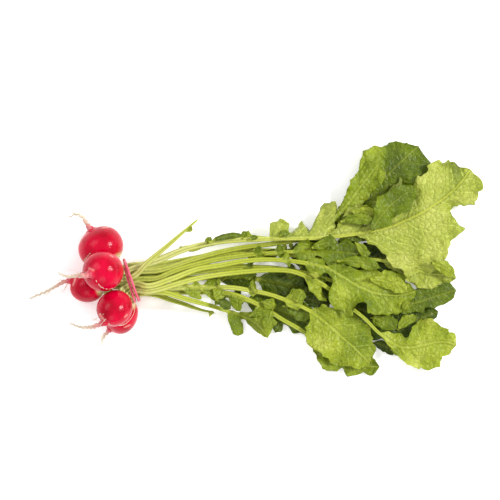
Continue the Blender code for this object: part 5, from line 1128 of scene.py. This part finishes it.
class Paint:
    """A node-based surface: short calls that add nodes and join them.

    A colour is given by its six hexadecimal digits, or as a share of white.
    """

    def __init__(self, name):
        self.material = bpy.data.materials.new(name)
        self.material.use_nodes = True
        self.nodes = self.material.node_tree.nodes
        self.links = self.material.node_tree.links
        self.shader = self.nodes["Principled BSDF"]
        self.place = self.add("TexCoord").outputs["Object"]

    def join(self, socket, value):
        """Joins a socket to another one, or sets it to a value."""
        if isinstance(value, bpy.types.NodeSocket):
            self.links.new(value, socket)
        elif socket.type == "RGBA":
            socket.default_value = colour_of(value)
        else:
            socket.default_value = value

    def fill(self, node, inputs):
        for key, value in inputs.items():
            self.join(node.inputs[key.replace("_", " ")], value)

    def add(self, kind, settings=None, **inputs):
        """A new node, with its settings and its named inputs."""
        node = self.nodes.new("ShaderNode" + kind)
        for key, value in (settings or {}).items():
            setattr(node, key, value)
        self.fill(node, inputs)
        return node

    def apply(self, kind, operation, values):
        """A node that works on its inputs in order."""
        node = self.add(kind, {"operation": operation})
        for socket, value in zip(node.inputs, values):
            self.join(socket, value)
        return node.outputs[0]

    def math(self, operation, *values):
        return self.apply("Math", operation, values)

    def times(self, first, second):
        return self.math("MULTIPLY", first, second)

    def sum(self, first, second, factor=1.0, offset=0.0):
        """first + second * factor + offset"""
        return self.math("ADD", self.math("MULTIPLY_ADD", second, factor, first), offset)

    def mask(self, key, output="Fac"):
        """One of the values that the mesh holds at its points."""
        return self.add("Attribute", {"attribute_name": key}).outputs[output]

    def noise(self, scale, detail):
        node = self.add("TexNoise", Vector=self.place, Scale=scale, Detail=detail, Roughness=NOISE_ROUGHNESS)
        return node.outputs["Fac"]

    def fade(self, value, near, far):
        """1 below near, 0 above far, and a smooth fall between."""
        node = self.add("MapRange", {"interpolation_type": "SMOOTHSTEP"}, Value=value,
                        From_Min=near, From_Max=far, To_Min=1.0, To_Max=0.0)
        return node.outputs["Result"]

    def cells(self, vector, scale, wander):
        """How far a point is from the edge of the net's cells, 0 on the edge."""
        swirl = self.add("TexNoise", Vector=vector, Scale=scale).outputs["Color"]
        shifted = self.apply("VectorMath", "MULTIPLY_ADD", (swirl, (wander, wander, 0.0), vector))
        node = self.add("TexVoronoi", {"feature": "DISTANCE_TO_EDGE"}, Vector=shifted, Scale=scale)
        return node.outputs["Distance"]

    def ramp(self, factor, *stops):
        node = self.add("ValToRGB", Fac=factor)
        band = node.color_ramp
        while len(band.elements) < len(stops):
            band.elements.new(0.5)
        for element, (place, colour) in zip(band.elements, stops):
            element.position = place
            element.color = colour_of(colour)
        return node.outputs["Color"]

    def mix(self, factor, first, second):
        return self.add("Mix", {"data_type": "RGBA"}, Factor=factor, A=first, B=second).outputs["Result"]

    def bump(self, height, distance, strength):
        node = self.add("Bump", Distance=distance, Strength=strength, Height=height)
        self.set(Normal=node.outputs["Normal"])

    def set(self, **inputs):
        """Sets or joins inputs of the surface's own shader."""
        self.fill(self.shader, inputs)

    def soften(self, weight, radius, scale):
        """Lets some light spread under the surface."""
        self.set(Subsurface_Weight=weight, Subsurface_Radius=radius, Subsurface_Scale=scale)


def leaf_paint():
    """Leaf and stalk: green by tone and painted shade, with a net of thin veins painted dark as shade in
    their creases, and pale grooved stalks with painted shade in the grooves.
    """
    paint = Paint("leaf_paint")
    run = paint.mask("run", "Vector")       # along the side veins, out from the midrib, which leaf
    along_veins = paint.add("SeparateXYZ", Vector=run).outputs[0]
    phase = paint.sum(paint.math("DIVIDE", along_veins, VEIN_SPACING), paint.noise(110, 3.0), 0.5)
    side_vein = paint.fade(paint.math("PINGPONG", phase, 0.5), 0.008, 0.055)
    side_vein = paint.times(side_vein, paint.fade(paint.mask("share"), 0.75, 1.0))
    branch = paint.fade(paint.cells(run, 0.20, 1.8), 0.01, 0.06)
    edge = paint.cells(paint.place, 290, 0.002)
    # The net of fine veins is painted dark: painted shade in the sunken veins and in the creases between the
    # puckers.
    vein_net_shade = paint.math("MAXIMUM", branch, paint.times(paint.fade(edge, 0.02, 0.12), 0.6))
    # Each leaf's tone, with painted shade on the low leaves, picks its green.
    tone = paint.sum(paint.mask("tone"), paint.noise(120, 4.0), 0.36, -0.18)
    tone = paint.sum(tone, paint.noise(800, 3.0), 0.20, -0.10)
    blade = paint.ramp(tone, (0.0, 0x1C2804), (0.25, 0x3E5004), (0.5, 0x6C7E0A), (0.75, 0x98A42A),
                       (1.0, 0xBEC25E))
    blade = paint.mix(paint.times(paint.mask("under"), 0.30), blade, 0xA8AE5C)
    blade = paint.mix(paint.times(vein_net_shade, 0.32), blade, 0x4A5804)
    blade = paint.mix(paint.times(side_vein, paint.mask("vein")), blade, 0xB4BE58)
    stalk = paint.ramp(paint.sum(paint.mask("along"), paint.noise(160, 2.0), 0.10, -0.05),
                       (0.0, 0xD0CE88), (0.14, 0xC0C45A), (0.32, 0xB0B83C), (0.62, 0xA4AE34),
                       (1.0, 0xA8B242))
    colour = paint.mix(paint.mask("rib"), blade, stalk)
    # Painted shade in the stalk's groove, along its sides and in the fold beside the midrib.
    colour = paint.mix(paint.times(paint.mask("groove"), 0.62), colour, 0x5A6606)
    rough = paint.sum(paint.noise(1300, 4.0), paint.noise(420, 3.0), 1.6)
    on_blade = paint.math("SUBTRACT", 1.0, paint.mask("rib"))
    swells = paint.times(paint.math("MINIMUM", edge, 0.35), on_blade)
    paint.bump(paint.sum(rough, swells, 4.0), 0.0005, 0.7)
    paint.soften(0.12, (0.8, 1.0, 0.25), 0.0015)
    paint.set(Base_Color=colour, Roughness=paint.sum(0.18, paint.noise(260, 3.0), 0.34),
              Specular_IOR_Level=0.25)
    return paint.material


def skin_paint():
    """Red skin with fine streaks and pale scars, going pale down the root and at the crown."""
    paint = Paint("radish_skin_paint")
    fine = paint.noise(520, 4.0)
    red = paint.ramp(paint.sum(paint.noise(70, 2.0), fine, 0.25, -0.12),
                     (0.25, 0x920016), (0.45, 0xB40026), (0.62, 0xCA0030), (0.85, 0xDA023E))
    red = paint.mix(paint.times(paint.mask("scar"), paint.sum(0.2, fine, 1.3)), red, 0xDC8C80)
    red = paint.mix(paint.times(paint.mask("end"), 0.25), red, 0xC83048)
    pale = paint.ramp(paint.sum(paint.mask("root"), fine, 0.22, -0.11), (0.0, 0xC22040),
                      (0.08, 0xCC6A72), (0.22, 0xD4A296), (0.45, 0xDCC8AE), (1.0, 0xD6CCB2))
    colour = paint.mix(paint.ramp(paint.mask("root"), (0.0, 0.0), (0.045, 1.0)), red, pale)
    paint.bump(paint.sum(paint.noise(1500, 3.0), paint.noise(300, 3.0), 3.0), 0.0002, 0.35)
    paint.soften(0.05, (1.0, 0.15, 0.15), 0.0015)
    paint.set(Base_Color=paint.mix(paint.mask("crown"), colour, 0xD2D89A), Roughness=0.16,
              Specular_IOR_Level=0.17)
    return paint.material


def band_paint():
    paint = Paint("rubber_band_paint")
    paint.bump(paint.noise(1800, 2.0), 0.0001, 0.4)
    paint.soften(0.15, (1.0, 0.4, 0.4), 0.001)
    paint.set(Base_Color=paint.ramp(paint.noise(260, 2.0), (0.3, 0xCC4060), (0.7, 0xE66C86)),
              Roughness=0.38, Specular_IOR_Level=0.35)
    return paint.material


def floor_paint():
    paint = Paint("floor_paint")
    paint.set(Base_Color=paint.ramp(paint.noise(3, 2.0), (0.3, 0.93), (0.7, 0.95)), Roughness=0.9,
              Emission_Color=1.0, Emission_Strength=FLOOR_GLOW)
    return paint.material


def make_floor():
    mesh = bpy.data.meshes.new("floor")
    mesh.from_pydata([(-4, -4, 0), (4, -4, 0), (4, 4, 0), (-4, 4, 0)], [], [(0, 1, 2, 3)])
    mesh.materials.append(floor_paint())
    floor = bpy.data.objects.new("floor", mesh)
    bpy.context.scene.collection.objects.link(floor)


def add_light(name, spot, size, power):
    """A round lamp that points at the bunch."""
    lamp = bpy.data.lights.new(name, "AREA")
    lamp.shape = "DISK"
    lamp.size = size
    lamp.energy = power
    item = bpy.data.objects.new(name, lamp)
    item.location = spot
    item.rotation_euler = (LIGHT_TARGET - Vector(spot)).to_track_quat("-Z", "Y").to_euler()
    bpy.context.scene.collection.objects.link(item)


def add_camera():
    """The camera, which looks straight down as it is made."""
    lens = bpy.data.cameras.new("camera")
    lens.lens = lens.sensor_width * CAMERA_AWAY / VIEW_WIDTH
    lens.clip_end = 20.0
    camera = bpy.data.objects.new("camera", lens)
    camera.location = (*VIEW_CENTRE, VIEW_HEIGHT + CAMERA_AWAY)
    bpy.context.scene.collection.objects.link(camera)
    bpy.context.scene.camera = camera


def set_room():
    make_floor()
    for name, light in LIGHTS.items():
        add_light(name, *light)
    world = bpy.data.worlds.new("room")
    world.use_nodes = True
    sky = world.node_tree.nodes["Background"].inputs
    sky["Color"].default_value = (1.0, 1.0, 1.0, 1.0)
    sky["Strength"].default_value = SKY_LIGHT
    bpy.context.scene.world = world
    add_camera()
    bpy.context.scene.view_settings.view_transform = "Standard"


def lay(name, plan, start, facing, pile, thick=1.0):
    """Lays one coarse leaf on the pile."""
    leaf = Leaf(name, plan, start, facing, thick)
    leaf.raise_over(pile)
    pile.add(leaf.triangles(leaf.top))
    return leaf


def make_leaflets(level, pile, surface):
    """The small side lobes under the stalks, 0, or over them, 1."""
    for k, (where, x0, y0, x1, y1, width, curl, tone) in enumerate(LEAFLETS):
        if where != level:
            continue
        start = np.array((x0, y0, pile.height_at(x0, y0) + LEAFLET_SEAT))
        lie = max(LEAFLET_SEAT, start[2] - LEAFLET_DROOP * math.hypot(x1 - x0, y1 - y0))
        plan = leaflet_plan(x0, y0, x1, y1, width, curl, lie)
        facing = unit((x1 - x0, y1 - y0, 0.0))
        leaf = lay(f"leaflet_{k + 1:02d}", plan, [start], facing, pile, LEAFLET_STALK)
        FineLeaf(leaf).make(surface, tone)


def main():
    red, green = skin_paint(), leaf_paint()
    bulbs = {name: Bulb(plan) for name, plan in RADISHES.items()}
    for name, plan in RADISHES.items():
        piece = make_fine_radish(name, plan, red)
        make_side_roots(name, piece, red)
    starts = stalk_starts(bulbs)
    pile = Pile()
    for name, plan in LEAVES.items():
        if name == "leaf_light_tip":
            make_leaflets(0, pile, green)
        leaf = lay(name, plan, *starts[name], pile)
        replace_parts(FineLeaf(leaf).make(green, TONES_AND_SHADE[name]), name)
    make_leaflets(1, pile, green)
    make_fine_band(band_paint())
    set_room()


main()
